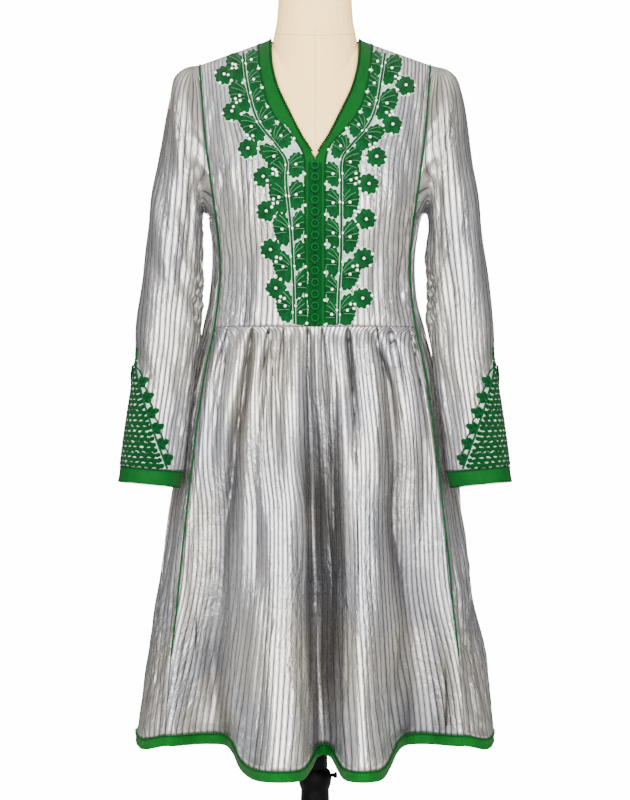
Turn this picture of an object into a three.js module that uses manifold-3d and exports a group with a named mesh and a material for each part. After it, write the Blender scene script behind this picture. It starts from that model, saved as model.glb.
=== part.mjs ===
// A long-sleeved tunic dress with a V neck, a gathered skirt and braid trims, worn by a limbless
// dress form on a turned stand. Millimetres, +Z up, the front faces -Y and the origin is on the floor
// under the pole. Cloth pieces are thin walls made from grids of points on one shared body surface.
import * as THREE from 'three';
import { mergeVertices } from 'three/addons/utils/BufferGeometryUtils.js';
import Module from 'manifold-3d';

const wasm = await Module();
wasm.setup();

// Driving sizes
const CLOTH = 1.6;
const SEAM_GAP = 0.4;
const HEM = 409;
const HEM_LIFT = 36;
const HEM_BAND = 15;
const WAIST = 1024;
const UNDERARM = 1176;
const NECK_POINT = { x: 63.4, height: 1427 };
const SHOULDER_SLOPE = 0.354;
const SHOULDER_END = 161;
const BAND_CORNER = 81;
const PLACKET_HALF = 15;
const V_POINT = 1254.5;
const BACK_NECK = { seam: 1392, edge: 1412, power: 2.2 };
const CUFF_BAND = 20.5;
const BUTTONS = { count: 14, top: 1243.5, pitch: 15.98, radius: 5.4 };
const SECTION_POWER = 2.35;
const RIDGE_Y = 5;
const TRIM_LIFT = 0.45;
const YOKE_LIFT = 1;

// Rows of numbers as objects with named columns
const table = (columns, rows) =>
  rows.map((row) => Object.fromEntries(columns.split(' ').map((name, i) => [name, row[i]])));

// Smooth curve through a table's points: y as a function of x, level past both ends
function curve(rows, xName, yName) {
  const points = rows.map((row) => [row[xName], row[yName]]).sort((a, b) => a[0] - b[0]);
  const slopes = points.map((point, i) => {
    const before = points[Math.max(i - 1, 0)];
    const after = points[Math.min(i + 1, points.length - 1)];
    return (after[1] - before[1]) / (after[0] - before[0]);
  });
  return (x) => {
    if (x <= points[0][0]) return points[0][1];
    if (x >= points.at(-1)[0]) return points.at(-1)[1];
    const i = points.findIndex((point) => point[0] > x) - 1;
    const width = points[i + 1][0] - points[i][0];
    const t = (x - points[i][0]) / width;
    const ends = points[i][1] * (1 + 2 * t) * (1 - t) ** 2 + points[i + 1][1] * t * t * (3 - 2 * t);
    return ends + width * (slopes[i] * t * (1 - t) ** 2 - slopes[i + 1] * t * t * (1 - t));
  };
}

const mix = (a, b, t) => a + (b - a) * t;
const clamp01 = (t) => Math.min(Math.max(t, 0), 1);
const smooth = (t) => clamp01(t) ** 2 * (3 - 2 * clamp01(t));
const steps = (count) => Array.from({ length: count + 1 }, (_, i) => i / count);

// Outer size of the dress's body at each height: half width, and depth in front and behind
const BODY = table('height halfWidth front back', [
  [409, 252, 92, 92],
  [540, 237, 104, 102],
  [640, 223, 112, 110],
  [720, 211.5, 118, 115],
  [800, 199.5, 122, 118],
  [890, 183, 124, 120],
  [965, 167, 118, 110],
  [1020, 152.5, 106, 92],
  [1060, 143, 107, 90],
  [1112, 139, 114, 93],
  [1150, 142.5, 123, 97],
  [1183, 151, 126, 101],
  [1230, 165, 119, 104],
  [1283, 172, 107, 104],
  [1340, 175, 95, 100],
  [1400, 176, 84, 90],
  [1450, 176, 76, 84],
]);
const halfWidthAt = curve(BODY, 'height', 'halfWidth');
const frontAt = curve(BODY, 'height', 'front');
const backAt = curve(BODY, 'height', 'back');

// Half breadth of the front and back panels: the piped seam from shoulder to hem
const PIPED_SEAM = table('height x', [
  [409, 208.5],
  [550, 198.5],
  [615, 192],
  [706, 183.7],
  [810, 171.6],
  [890, 162.2],
  [965, 150.9],
  [1024, 139],
  [1090, 131.5],
  [1131, 132],
  [1176, 137],
  [1215, 142.3],
  [1271, 149.9],
  [1331, 155.6],
  [1391, SHOULDER_END],
]);
const seamAt = curve(PIPED_SEAM, 'height', 'x');

// Edges of the neck braid in front view: the neckline itself, and the edge sewn to the bodice
const NECKLINE = table('height x', [
  [V_POINT, 0.25],
  [1263, 5.5],
  [1272, 11],
  [1285.8, 19.8],
  [1325.8, 39.5],
  [1356.3, 53],
  [1389.4, 61],
  [1427, NECK_POINT.x],
]);
const BRAID_SEAM = table('height x', [
  [1222, PLACKET_HALF],
  [1240, 15.2],
  [1258, 16.8],
  [1272, 23],
  [1284, 33],
  [1295, 44.5],
  [1314, 58.5],
  [1337, 69],
  [1380, 77.6],
  [1421, BAND_CORNER],
]);
const necklineAt = curve(NECKLINE, 'height', 'x');
const braidSeamAt = curve(BRAID_SEAM, 'height', 'x');

// Outline of the worked yoke: one scallop for each flower
const YOKE = table('height x', [
  [1024, 36],
  [1042, 45],
  [1066, 58],
  [1085, 46],
  [1118, 63],
  [1137, 50],
  [1168, 66],
  [1186, 54],
  [1212, 72],
  [1228, 62],
  [1252, 88],
  [1272, 80],
  [1302, 112],
  [1322, 102],
  [1362, 128],
  [1384, 108],
  [1421, 112],
]);
const yokeEdgeAt = curve(YOKE, 'height', 'x');

// The shoulder line, and the body's front or back surface as depth over (x, height)
const shoulderAt = (x) => NECK_POINT.height - SHOULDER_SLOPE * (Math.abs(x) - NECK_POINT.x);
const roundness = (ratio) => (1 - Math.min(Math.abs(ratio), 1) ** SECTION_POWER) ** (1 / SECTION_POWER);
function archAt(x, height) {
  const share = clamp01((height - UNDERARM) / (shoulderAt(x) - UNDERARM));
  return Math.sqrt(1 - share ** 3);
}
function bodyPoint(x, height, side) {
  const depth = side < 0 ? frontAt(height) : backAt(height);
  const centre = RIDGE_Y * smooth((height - UNDERARM) / 200);
  const y = centre + side * depth * roundness(x / halfWidthAt(height)) * archAt(x, height);
  return new THREE.Vector3(x, y, height);
}

// The way out of the body at a point of that surface. On the shoulder line it has no part along Y.
function bodyNormal(x, height, side) {
  const room = shoulderAt(x) - height;
  if (room < SEAM_GAP) return new THREE.Vector3(SHOULDER_SLOPE * Math.sign(x), 0, 1).normalize();
  const step = Math.min(0.5, room / 3);
  const across = bodyPoint(x + step, height, side).sub(bodyPoint(x - step, height, side));
  const up = bodyPoint(x, height + step, side).sub(bodyPoint(x, height - step, side));
  return across.cross(up).multiplyScalar(-side).normalize();
}
const level = (normal) => normal.setZ(0).normalize();

// Normals for a grid lying on the body's surface. Its foot row is level, as the seam there is.
const bodyNormals = (grid, side, footLevel = true) => grid.map((row, r) => row.map((p) => {
  const normal = bodyNormal(p.x, p.z, side);
  return r === 0 && footLevel ? level(normal) : normal;
}));

// A line of points up the body from the waist to the shoulder line or a top height, evenly spaced along it.
// share is the line's place between the two edges, 0 at the inner one.
function bodyLine(share, inner, outer, rows, side, topAt) {
  const FINE = 160;
  const points = [];
  for (const t of steps(FINE)) {
    let x = mix(inner(1400), outer(1400), share);
    let height = WAIST;
    for (let pass = 0; pass < 4; pass++) {
      const top = Math.min(topAt ? topAt(x) : shoulderAt(x), shoulderAt(x));
      const reach = clamp01((top - UNDERARM) / (shoulderAt(x) - UNDERARM));
      const steepest = Math.asin(reach ** 1.5);
      height = t < 0.4
        ? mix(WAIST + SEAM_GAP / 2, UNDERARM, t / 0.4)
        : UNDERARM + (shoulderAt(x) - UNDERARM) * Math.sin(steepest * (t - 0.4) / 0.6) ** (2 / 3);
      x = mix(inner(height), outer(height), share);
    }
    points.push(bodyPoint(x, height, side));
  }
  return resample(points, rows, SEAM_GAP / 2);
}

// A polyline's points again at the given shares of its length, stopping short of its end by a gap
function resample(points, shares, endGap = 0) {
  const along = [0];
  for (let i = 1; i < points.length; i++) along.push(along[i - 1] + points[i].distanceTo(points[i - 1]));
  const length = along.at(-1) - endGap;
  return shares.map((share) => {
    const at = share * length;
    let i = along.findIndex((d) => d > at);
    if (i < 1) i = at <= 0 ? 1 : along.length - 1;
    return points[i - 1].clone().lerp(points[i], (at - along[i - 1]) / (along[i] - along[i - 1]));
  });
}

// Swaps a list of columns for a list of rows, and mirrors a grid to the other side of the body
const turned = (grid) => grid[0].map((_, i) => grid.map((line) => line[i]));
const mirrored = (grid) =>
  grid.map((row) => row.map((p) => new THREE.Vector3(-p.x, p.y, p.z)).reverse());

// Unit normals of a grid of points. Columns run anticlockwise seen from above and rows run up,
// so a normal points out of the body.
function normalsOf(grid, wrap) {
  const columns = grid[0].length;
  return grid.map((row, r) => row.map((_, c) => {
    const before = wrap ? row[(c - 1 + columns) % columns] : row[Math.max(c - 1, 0)];
    const after = wrap ? row[(c + 1) % columns] : row[Math.min(c + 1, columns - 1)];
    const under = grid[Math.max(r - 1, 0)][c];
    const over = grid[Math.min(r + 1, grid.length - 1)][c];
    return after.clone().sub(before).cross(over.clone().sub(under)).normalize();
  }));
}

// A closed wall of cloth on a grid of points, from one offset along the normals to another
function wall(grid, { from = -CLOTH, to = 0, wrap = false, normals = null } = {}) {
  const rows = grid.length;
  const columns = grid[0].length;
  const out = normals || normalsOf(grid, wrap);
  const layer = (offset) => grid.flatMap((row, r) => row.map((p, c) =>
    p.clone().addScaledVector(out[r][c], offset)));
  const points = [...layer(to), ...layer(from)];
  const at = (r, c, inside) => (inside ? rows * columns : 0) + r * columns + (c % columns);
  const faces = [];
  const quad = (a, b, c, d) => faces.push(a, b, c, a, c, d);
  const lastColumn = wrap ? columns : columns - 1;
  for (let r = 0; r < rows - 1; r++) {
    for (let c = 0; c < lastColumn; c++) {
      quad(at(r, c), at(r, c + 1), at(r + 1, c + 1), at(r + 1, c));
      quad(at(r, c, 1), at(r + 1, c, 1), at(r + 1, c + 1, 1), at(r, c + 1, 1));
    }
  }
  for (let c = 0; c < lastColumn; c++) {
    quad(at(0, c, 1), at(0, c + 1, 1), at(0, c + 1), at(0, c));
    quad(at(rows - 1, c), at(rows - 1, c + 1), at(rows - 1, c + 1, 1), at(rows - 1, c, 1));
  }
  if (!wrap) {
    for (let r = 0; r < rows - 1; r++) {
      quad(at(r, 0), at(r + 1, 0), at(r + 1, 0, 1), at(r, 0, 1));
      quad(at(r, columns - 1, 1), at(r + 1, columns - 1, 1), at(r + 1, columns - 1), at(r, columns - 1));
    }
  }
  return solid(points, faces);
}

// A closed geometry from points and faces, with its faces turned to point out
function solid(points, faces) {
  let volume = 0;
  for (let i = 0; i < faces.length; i += 3) {
    const [a, b, c] = [points[faces[i]], points[faces[i + 1]], points[faces[i + 2]]];
    volume += a.dot(b.clone().cross(c));
  }
  if (volume < 0) faces.reverse();
  const geometry = new THREE.BufferGeometry().setFromPoints(points);
  geometry.setIndex(faces);
  geometry.computeVertexNormals();
  return geometry;
}

// A closed solid through horizontal rings of points, with flat ends
function ringSolid(rings) {
  const around = rings[0].length;
  const points = rings.flat();
  const faces = [];
  for (let r = 0; r < rings.length - 1; r++) {
    for (let c = 0; c < around; c++) {
      const next = (c + 1) % around;
      const [a, b] = [r * around + c, r * around + next];
      faces.push(a, b, b + around, a, b + around, a + around);
    }
  }
  for (const [ring, flip] of [[0, true], [rings.length - 1, false]]) {
    const middle = rings[ring].reduce((sum, p) => sum.add(p), new THREE.Vector3());
    points.push(middle.divideScalar(around));
    for (let c = 0; c < around; c++) {
      const [a, b] = [ring * around + c, ring * around + ((c + 1) % around)];
      faces.push(points.length - 1, flip ? b : a, flip ? a : b);
    }
  }
  return solid(points, faces);
}

function toManifold(geometry) {
  const bare = geometry.clone();
  bare.deleteAttribute('normal');
  bare.deleteAttribute('uv');
  const merged = mergeVertices(bare, 1e-5);
  return new wasm.Manifold(new wasm.Mesh({
    numProp: 3,
    vertProperties: merged.attributes.position.array,
    triVerts: new Uint32Array(merged.index.array),
  }));
}
function fromManifold(body) {
  const mesh = body.getMesh();
  const geometry = new THREE.BufferGeometry();
  geometry.setAttribute('position', new THREE.BufferAttribute(mesh.vertProperties, mesh.numProp));
  geometry.setIndex([...mesh.triVerts]);
  geometry.computeVertexNormals();
  return geometry;
}

// A thin cord lying on a line of points: its foot hovers over them and its section is a square on its corner
function cordOn(points, normals, radius) {
  const sections = points.map((p, i) => {
    const before = points[Math.max(i - 1, 0)];
    const after = points[Math.min(i + 1, points.length - 1)];
    const side = after.clone().sub(before).cross(normals[i]).normalize();
    const middle = p.clone().addScaledVector(normals[i], radius + TRIM_LIFT);
    return [
      middle.clone().addScaledVector(normals[i], radius),
      middle.clone().addScaledVector(side, radius),
      middle.clone().addScaledVector(normals[i], -radius),
      middle.clone().addScaledVector(side, -radius),
    ];
  });
  return ringSolid(sections);
}

// Materials
const finish = (color, roughness, metalness) => new THREE.MeshStandardMaterial({ color, roughness, metalness });
const SILVER = finish(0xb9b7b4, 0.4, 0.5);
const BRAID = finish(0x1c8a32, 0.5, 0);
const WORK = finish(0x17693a, 0.7, 0);
const LINEN = finish(0xf1e6d3, 0.9, 0);
const BLACK = finish(0x1c1a19, 0.4, 0);

const dress = new THREE.Group();
dress.name = 'tunic_dress_on_form';
function add(name, geometry, material) {
  const mesh = new THREE.Mesh(geometry, material);
  mesh.name = name;
  dress.add(mesh);
}
function addPair(name, grid, material, options = {}) {
  const other = options.normals ? { ...options, normals: mirrored(options.normals) } : options;
  add(`${name}_right`, wall(grid, options), material);
  add(`${name}_left`, wall(mirrored(grid), other), material);
}

// Bodice fronts, from the braid to the piped seam. The wearer's side is not used in names: right is +X.
const BODICE_ROWS = [0, 0.07, 0.14, 0.21, 0.28, 0.35, 0.42, 0.49, 0.56, 0.63, 0.7, 0.77, 0.84, 0.9, 0.95, 0.98, 1];
const braidEdge = (height) => braidSeamAt(height) + SEAM_GAP / 2;
const frontGrid = turned(steps(7).map((share) =>
  bodyLine(share, braidEdge, seamAt, BODICE_ROWS, -1)));
const frontNormals = bodyNormals(frontGrid, -1);
addPair('bodice_front', frontGrid, SILVER, { normals: frontNormals });

// Bodice back, one panel whose top edge follows the shoulders and the back neck
const backNeckAt = (x) => {
  const share = Math.abs(x) / BAND_CORNER;
  return share >= 1 ? shoulderAt(x) : mix(BACK_NECK.seam, shoulderAt(BAND_CORNER), share ** BACK_NECK.power);
};
const backColumn = (share) => bodyLine(
  Math.abs(share), () => 0, seamAt, BODICE_ROWS, 1, backNeckAt,
).map((p) => (share < 0 ? new THREE.Vector3(-p.x, p.y, p.z) : p));
const backGrid = turned(steps(14).map((t) => backColumn(1 - 2 * t)));
const backNormals = bodyNormals(backGrid, 1);
add('bodice_back', wall(backGrid, { normals: backNormals }), SILVER);

// Front braid: the placket strip from the waist to the V point, and the neck band on to the shoulder
const openEdge = (height) => (height < V_POINT ? 0.25 : necklineAt(height));
const braidOuter = (height) => braidSeamAt(height) - SEAM_GAP / 2;
const braidGrid = turned(steps(2).map((share) =>
  bodyLine(share, openEdge, braidOuter, BODICE_ROWS, -1)));
addPair('neck_braid', braidGrid, BRAID, { normals: bodyNormals(braidGrid, -1) });

// Back neck braid, between the back panel's top edge and the back neckline
const backTop = backGrid.at(-1);
function topHeight(x) {
  const i = Math.max(backTop.findIndex((p) => p.x < x), 1);
  const t = (x - backTop[i - 1].x) / (backTop[i].x - backTop[i - 1].x);
  return mix(backTop[i - 1].z, backTop[i].z, t);
}
const backBraidGrid = steps(2).map((up) => steps(14).map((t) => {
  const swing = Math.sin((0.5 - t) * Math.PI);
  const seam = swing * (BAND_CORNER - 1.2);
  const edge = swing * NECK_POINT.x;
  const edgeHeight = mix(BACK_NECK.edge, NECK_POINT.height, Math.abs(swing) ** BACK_NECK.power);
  const x = mix(seam, edge, up);
  const height = Math.min(mix(topHeight(seam) + SEAM_GAP * 3.2, edgeHeight, up), shoulderAt(x) - 0.02);
  const point = bodyPoint(x, height, 1);
  point.y = Math.max(point.y, RIDGE_Y + SEAM_GAP);
  return point;
}));
add('neck_braid_back', wall(backBraidGrid, { normals: bodyNormals(backBraidGrid, 1, false) }), BRAID);

// Worked yoke of leaves and flowers, lying on the bodice fronts
const yokeGrid = frontGrid.map((row) => {
  const fine = resample(row, steps(60));
  const last = Math.max(fine.findIndex((p) => p.x > yokeEdgeAt(p.z)), 8);
  return resample(fine.slice(1, last), steps(4));
});
addPair('yoke_embroidery', yokeGrid, WORK, {
  from: YOKE_LIFT, to: YOKE_LIFT + 0.8, normals: bodyNormals(yokeGrid, -1),
});

// Side panels, from the underarm to the hem between the front and back seams
const sideLift = (height) => HEM_LIFT * smooth((700 - height) / (700 - HEM));
const liftAcross = curve(table('turn share', [[0, 1.1], [0.5, 0.8], [1, 1]]), 'turn', 'share');
function sidePoint(turn, height) {
  const seam = seamAt(height);
  const half = halfWidthAt(height);
  const angle = Math.acos(clamp01((seam + SEAM_GAP * 0.7) / half));
  const at = Math.cos(angle * turn) * half;
  const point = bodyPoint(Math.min(at, half), height, turn < 0 ? -1 : 1);
  if (turn === 0) point.y = 0;
  return point.setZ(height + sideLift(height) * liftAcross(Math.abs(turn)));
}
const SIDE_TURNS = [-1, -0.5, 0, 0.5, 1];
const FALLS = [0, 0.035, 0.09, 0.17, 0.28, 0.41, 0.55, 0.7, 0.85, 1];
const skirtHeights = [...FALLS].reverse().map((fall) => mix(WAIST - SEAM_GAP / 2, HEM + HEM_BAND, fall));
const bodiceHeights = frontGrid.map((row) => row.at(-1).z).filter((height) => height < UNDERARM - 6);
const sideHeights = [...skirtHeights, ...bodiceHeights, UNDERARM];
const sideGrid = sideHeights.map((height) => SIDE_TURNS.map((turn) => sidePoint(turn, height)));
const sideNormals = normalsOf(sideGrid, false).map((row, r) => row.map((normal, c) => {
  if (c > 0 && c < row.length - 1) return normal;
  return bodyNormal(sideGrid[r][c].x, sideHeights[r], c ? 1 : -1);
}));
addPair('side_panel', sideGrid, SILVER, { normals: sideNormals });

// Plan of the skirt's hem between the piped seams, left to right, with y towards the back:
// ridges stand forward and valleys fall back
const FRONT_HEM = table('x y', [
  [-208.3, -58],
  [-180, -44],
  [-150, -33],
  [-128, -42],
  [-113, -82],
  [-100, -132],
  [-76, -172],
  [-46, -186],
  [-20, -170],
  [-6, -130],
  [3, -95],
  [12, -86],
  [22, -96],
  [31, -130],
  [42, -168],
  [64, -186],
  [88, -168],
  [102, -125],
  [114, -78],
  [130, -42],
  [152, -34],
  [180, -45],
  [208.3, -58],
]);
const BACK_HEM = table('x y', [
  [208.3, 58],
  [184, 54],
  [160, 62],
  [142, 92],
  [124, 138],
  [98, 164],
  [72, 152],
  [58, 118],
  [44, 104],
  [26, 124],
  [10, 160],
  [-14, 176],
  [-38, 160],
  [-52, 122],
  [-66, 106],
  [-82, 124],
  [-98, 152],
  [-122, 156],
  [-142, 124],
  [-156, 84],
  [-178, 58],
  [-208.3, 58],
]);

// Where each pleat is pinched into the waist seam, as a share of the panel's cloth, and how deep it is
const FRONT_PLEATS = table('share depth', [
  [0.064, 8],
  [0.191, 12],
  [0.273, 7],
  [0.345, 8],
  [0.458, 13],
  [0.54, 7],
  [0.662, 11],
  [0.8, 11],
  [0.868, 8],
  [0.94, 7],
]);
const BACK_PLEATS = table('share depth', [
  [0.07, 7],
  [0.15, 9],
  [0.255, 11],
  [0.35, 8],
  [0.45, 10],
  [0.55, 9],
  [0.66, 11],
  [0.74, 8],
  [0.85, 10],
  [0.93, 7],
]);
const PLEAT_HALF = 0.014;

// A gathered skirt panel: straight falls of cloth from the waist seam to the hem's plan
function skirtGrid(hem, side, pleats) {
  const outline = new THREE.CatmullRomCurve3(hem.map((p) => new THREE.Vector3(p.x, p.y, 0)), false, 'centripetal');
  const fine = outline.getSpacedPoints(400);
  const shares = [0, ...pleats.flatMap((pleat, i) => {
    const next = pleats[i + 1]?.share ?? 1;
    const between = next - pleat.share > 0.1 ? [1 / 3, 2 / 3] : [0.5];
    return [
      ...[-PLEAT_HALF, 0, PLEAT_HALF].map((d) => pleat.share + d),
      ...between.map((t) => mix(pleat.share, next, t)),
    ];
  }), 1];
  const hemPoints = resample(fine, shares);
  const edge = Math.sign(hem[0].x);
  return skirtHeights.map((height, r) => shares.map((share, i) => {
    const fall = FALLS[FALLS.length - 1 - r];
    const breadth = seamAt(height) - SEAM_GAP / 2;
    const place = mix(edge, -edge, share);
    const hip = bodyPoint(place * breadth, height, side);
    const x = mix(place * breadth, hemPoints[i].x, fall ** 1.1);
    const over = bodyPoint(clampTo(x, breadth), height, side);
    const hung = new THREE.Vector3(x, mix(over.y, hemPoints[i].y, fall ** 1.7), height);
    const onEdge = Math.min(share, 1 - share);
    const point = hip.clone().lerp(hung, smooth(onEdge / 0.07));
    const forward = 1 - smooth((side * hemPoints[i].y - (side < 0 ? 40 : 55)) / (side < 0 ? 140 : 60));
    const raised = Math.max(forward, side < 0 ? 0 : 0.5 * smooth((Math.abs(hemPoints[i].x) - 70) / 35));
    point.z += sideLift(height) * mix(1, raised, smooth(onEdge / 0.07));
    const pleat = pleats.find((p) => Math.abs(p.share - share) < PLEAT_HALF / 2);
    const open = smooth(fall / 0.06) * (1 - smooth((fall - 0.1) / 0.45));
    if (pleat) point.y -= side * pleat.depth * open;
    return point;
  }));
}
const clampTo = (value, limit) => Math.min(Math.max(value, -limit), limit);
const skirtFront = skirtGrid(FRONT_HEM, -1, FRONT_PLEATS);
const skirtBack = skirtGrid(BACK_HEM, 1, BACK_PLEATS);
function skirtNormals(grid, side) {
  return normalsOf(grid, false).map((row, r) => row.map((normal, c) => {
    if (r === grid.length - 1) return level(bodyNormal(grid[r][c].x, WAIST, side));
    if (c > 0 && c < row.length - 1) return normal;
    return bodyNormal(grid[r][c].x, grid[r][c].z - sideLift(grid[r][c].z), side);
  }));
}
add('skirt_front', wall(skirtFront, { normals: skirtNormals(skirtFront, -1) }), SILVER);
add('skirt_back', wall(skirtBack, { normals: skirtNormals(skirtBack, 1) }), SILVER);

// Hem braid, one ring under the whole skirt
const hemTop = [
  ...skirtFront[0],
  ...sideGrid[0].slice(1, -1),
  ...skirtBack[0],
  ...mirrored(sideGrid)[0].slice(1, -1),
];
const hemRows = [HEM_BAND, SEAM_GAP].map((drop) => hemTop.map((p) => p.clone().setZ(p.z - drop)));
add('hem_braid', wall(hemRows, { wrap: true, from: -CLOTH, to: 0.3 }), BRAID);

// Sleeves: rings of points between an outer and an inner line, the first ring round the armhole
const SLEEVE = table('outerX outerZ innerX innerZ halfDepth y', [
  [184, 1387, 152.5, 1182, 62, 0],
  [197.9, 1374.8, 155.9, 1180.9, 60, -2],
  [203.8, 1351.6, 157.4, 1164.8, 57, -4],
  [209.6, 1309.3, 156.7, 1134.6, 54, -8],
  [218.4, 1257, 156, 1109.5, 51, -13],
  [228, 1203.8, 155.3, 1084.3, 49, -19],
  [235.6, 1138.7, 155.1, 1061.2, 47, -26],
  [242.2, 1078.8, 155.3, 1034.2, 45, -34],
  [247.6, 1021.1, 157, 1004.2, 43, -43],
  [248.1, 984.3, 162.1, 974.4, 41, -52],
  [252.6, 944.7, 167.7, 939.8, 39, -60],
  [260.1, 893.4, 173.9, 890.5, 37, -67],
  [265.7, 851.2, 178.6, 846.2, 36, -71],
  [267.8, 832.5, 181.1, 825.1, 35.5, -72],
]);
const FRONT_SHARE = 0.4;
const AROUND = 20;
const edgeNormalGap = SEAM_GAP * 0.9;
function armholePoint(share) {
  const front = share <= 0.5;
  const s = front ? share : 1 - share;
  const side = front ? -1 : 1;
  if (s >= FRONT_SHARE) {
    const turn = side * (0.5 - s) / (0.5 - FRONT_SHARE);
    const edge = sidePoint(turn, UNDERARM);
    return new THREE.Vector3(edge.x, edge.y, UNDERARM + edgeNormalGap);
  }
  const column = side < 0 ? frontGrid.map((row) => row.at(-1)) : backGrid.map((row) => row[0]);
  const low = column.findIndex((p) => p.z > UNDERARM + 1);
  const corner = bodyPoint(seamAt(UNDERARM), UNDERARM, side);
  const edge = [...column.slice(low).reverse(), corner];
  const [point] = resample(edge, [s / FRONT_SHARE]);
  return new THREE.Vector3(point.x + edgeNormalGap, point.y, Math.max(point.z, UNDERARM + edgeNormalGap));
}
function sleeveRing(row, share) {
  const outer = new THREE.Vector2(row.outerX, row.outerZ);
  const inner = new THREE.Vector2(row.innerX, row.innerZ);
  const angle = 2 * Math.PI * share;
  const middle = outer.clone().add(inner).multiplyScalar(0.5);
  const reach = outer.clone().sub(inner).multiplyScalar(0.5 * Math.cos(angle));
  return new THREE.Vector3(middle.x + reach.x, row.y - row.halfDepth * Math.sin(angle), middle.y + reach.y);
}
const sleeveShares = steps(AROUND).slice(0, -1);
const sleeveGrid = [
  ...[...SLEEVE].reverse().map((row) => sleeveShares.map((share) => sleeveRing(row, share))),
  sleeveShares.map(armholePoint),
].map((row) => row.reverse());
const sleeveNormals = normalsOf(sleeveGrid, true);
sleeveNormals.at(-1).forEach((normal) => normal.setX(0).normalize());
addPair('sleeve', sleeveGrid, SILVER, { wrap: true, normals: sleeveNormals });

// Cuff braid, the last ring of each sleeve
const cuffEnd = { outerX: 270.5, outerZ: 811.9, innerX: 186.9, innerZ: 803.5, halfDepth: 36, y: -74 };
const cuffTop = SLEEVE.at(-1);
const cuffStart = Object.fromEntries(Object.keys(cuffEnd).map((key) =>
  [key, mix(cuffTop[key], cuffEnd[key], SEAM_GAP / CUFF_BAND)]));
const cuffGrid = [cuffEnd, cuffStart].map((row) => sleeveShares.map((share) => sleeveRing(row, share)).reverse());
addPair('cuff_braid', cuffGrid, BRAID, { wrap: true, from: -CLOTH, to: 0.3 });

// Worked gusset on the outer side of each sleeve, a triangle with its point up, on the sleeve's own rows
const GUSSET_TOP = 1000;
const GUSSET_REACH = 7.2;
function sleevePoint(row, place) {
  const centre = AROUND - 1;
  const from = Math.floor(centre + place);
  return row[from % AROUND].clone().lerp(row[(from + 1) % AROUND], centre + place - from);
}
const gussetTopRow = sleeveGrid.findIndex((row) => Math.max(...row.map((p) => p.z)) > GUSSET_TOP) - 1;
const gussetGrid = steps(gussetTopRow * 2).map((t, r) => {
  const low = Math.min(Math.floor(r / 2), gussetTopRow - 1);
  const up = Math.max(r / 2 - low, r ? 0 : 0.05);
  const reach = GUSSET_REACH * (1 - t) ** 0.75 + 0.25;
  return steps(12).map((across) => {
    const place = mix(-reach, reach, across);
    return sleevePoint(sleeveGrid[low], place).lerp(sleevePoint(sleeveGrid[low + 1], place), up);
  });
});
addPair('gusset_embroidery', gussetGrid, WORK, { from: 1.8, to: 2.6 });

// Piping beside the four long seams, from the shoulder down to where it runs out above the hem
const PIPING_RADIUS = 1.1;
const PIPING_INSET = 2;
const PIPING_END = 530;
function pipingOf(skirt, skirtOut, bodice, bodiceOut, edge) {
  const inset = (row, at, beside) =>
    row[at].clone().lerp(row[beside], PIPING_INSET / row[at].distanceTo(row[beside]));
  const line = [];
  for (const [grid, out, last] of [[skirt, skirtOut, false], [bodice, bodiceOut, true]]) {
    const at = edge ? grid[0].length - 1 : 0;
    const beside = edge ? at - 1 : 1;
    grid.forEach((row, r) => {
      const seam = !last && r === grid.length - 1;
      if (row[at].z < PIPING_END || seam) return;
      line.push([inset(row, at, beside), out[r][at]]);
    });
  }
  return cordOn(line.map(([p]) => p), line.map(([, n]) => n), PIPING_RADIUS);
}
const frontNormalsFull = bodyNormals(frontGrid, -1, false);
const backNormalsFull = bodyNormals(backGrid, 1, false);
const mirroredPair = (name, geometry) => {
  add(`${name}_right`, geometry, BRAID);
  const flipped = geometry.clone().applyMatrix4(new THREE.Matrix4().makeScale(-1, 1, 1));
  flipped.setIndex([...flipped.index.array].reverse());
  add(`${name}_left`, flipped, BRAID);
};
mirroredPair('piping_front', pipingOf(skirtFront, skirtNormals(skirtFront, -1), frontGrid, frontNormalsFull, 1));
mirroredPair('piping_back', pipingOf(skirtBack, skirtNormals(skirtBack, 1), backGrid, backNormalsFull, 0));

// Buttons: round knots in a row down the placket
const buttonProfile = table('radius height', [
  [0, 0],
  [BUTTONS.radius, 0],
  [BUTTONS.radius, 1.6],
  [3.6, 3],
  [0, 3.8],
]).map((p) => new THREE.Vector2(p.radius, p.height));
const openLine = braidGrid.map((row) => row[0]);
for (let i = 0; i < BUTTONS.count; i++) {
  const height = BUTTONS.top - i * BUTTONS.pitch;
  const above = openLine.findIndex((p) => p.z > height);
  const [from, to] = [openLine[above - 1], openLine[above]];
  const place = from.clone().lerp(to, (height - from.z) / (to.z - from.z));
  const geometry = new THREE.LatheGeometry(buttonProfile, 8);
  geometry.rotateX(Math.PI);
  geometry.rotateX(-Math.atan2(to.y - from.y, to.z - from.z));
  geometry.translate(0, place.y - 0.5, place.z);
  add(`button_${String(i + 1).padStart(2, '0')}`, geometry, BRAID);
}

// Dress form: a smooth torso under the cloth, its neck, and a cap
const FORM_EASE = table('height sides front back', [
  [815, 60, 46, 44],
  [860, 44, 30, 32],
  [930, 27, 20, 20],
  [1000, 21, 16, 15],
  [1040, 16, 12, 10],
  [1100, 9, 7, 7],
  [1180, 7, 4.5, 5],
  [1240, 5, 4, 4.5],
  [1340, 5, 5, 5],
  [1400, 5, 8, 17],
]);
const easeSides = curve(FORM_EASE, 'height', 'sides');
const easeFront = curve(FORM_EASE, 'height', 'front');
const easeBack = curve(FORM_EASE, 'height', 'back');
const FORM_CLEARANCE = 3.2;
const ARM_PLATE = 151;
const NECK = { y: -5, halfWidth: 51, halfDepth: 47, top: 1512 };
const neckFlareAt = curve(table('height extra', [
  [1330, 16],
  [1370, 12.5],
  [1400, 9.5],
  [1427, 7.5],
  [1451, 2.5],
  [1490, 0],
]), 'height', 'extra');
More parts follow.
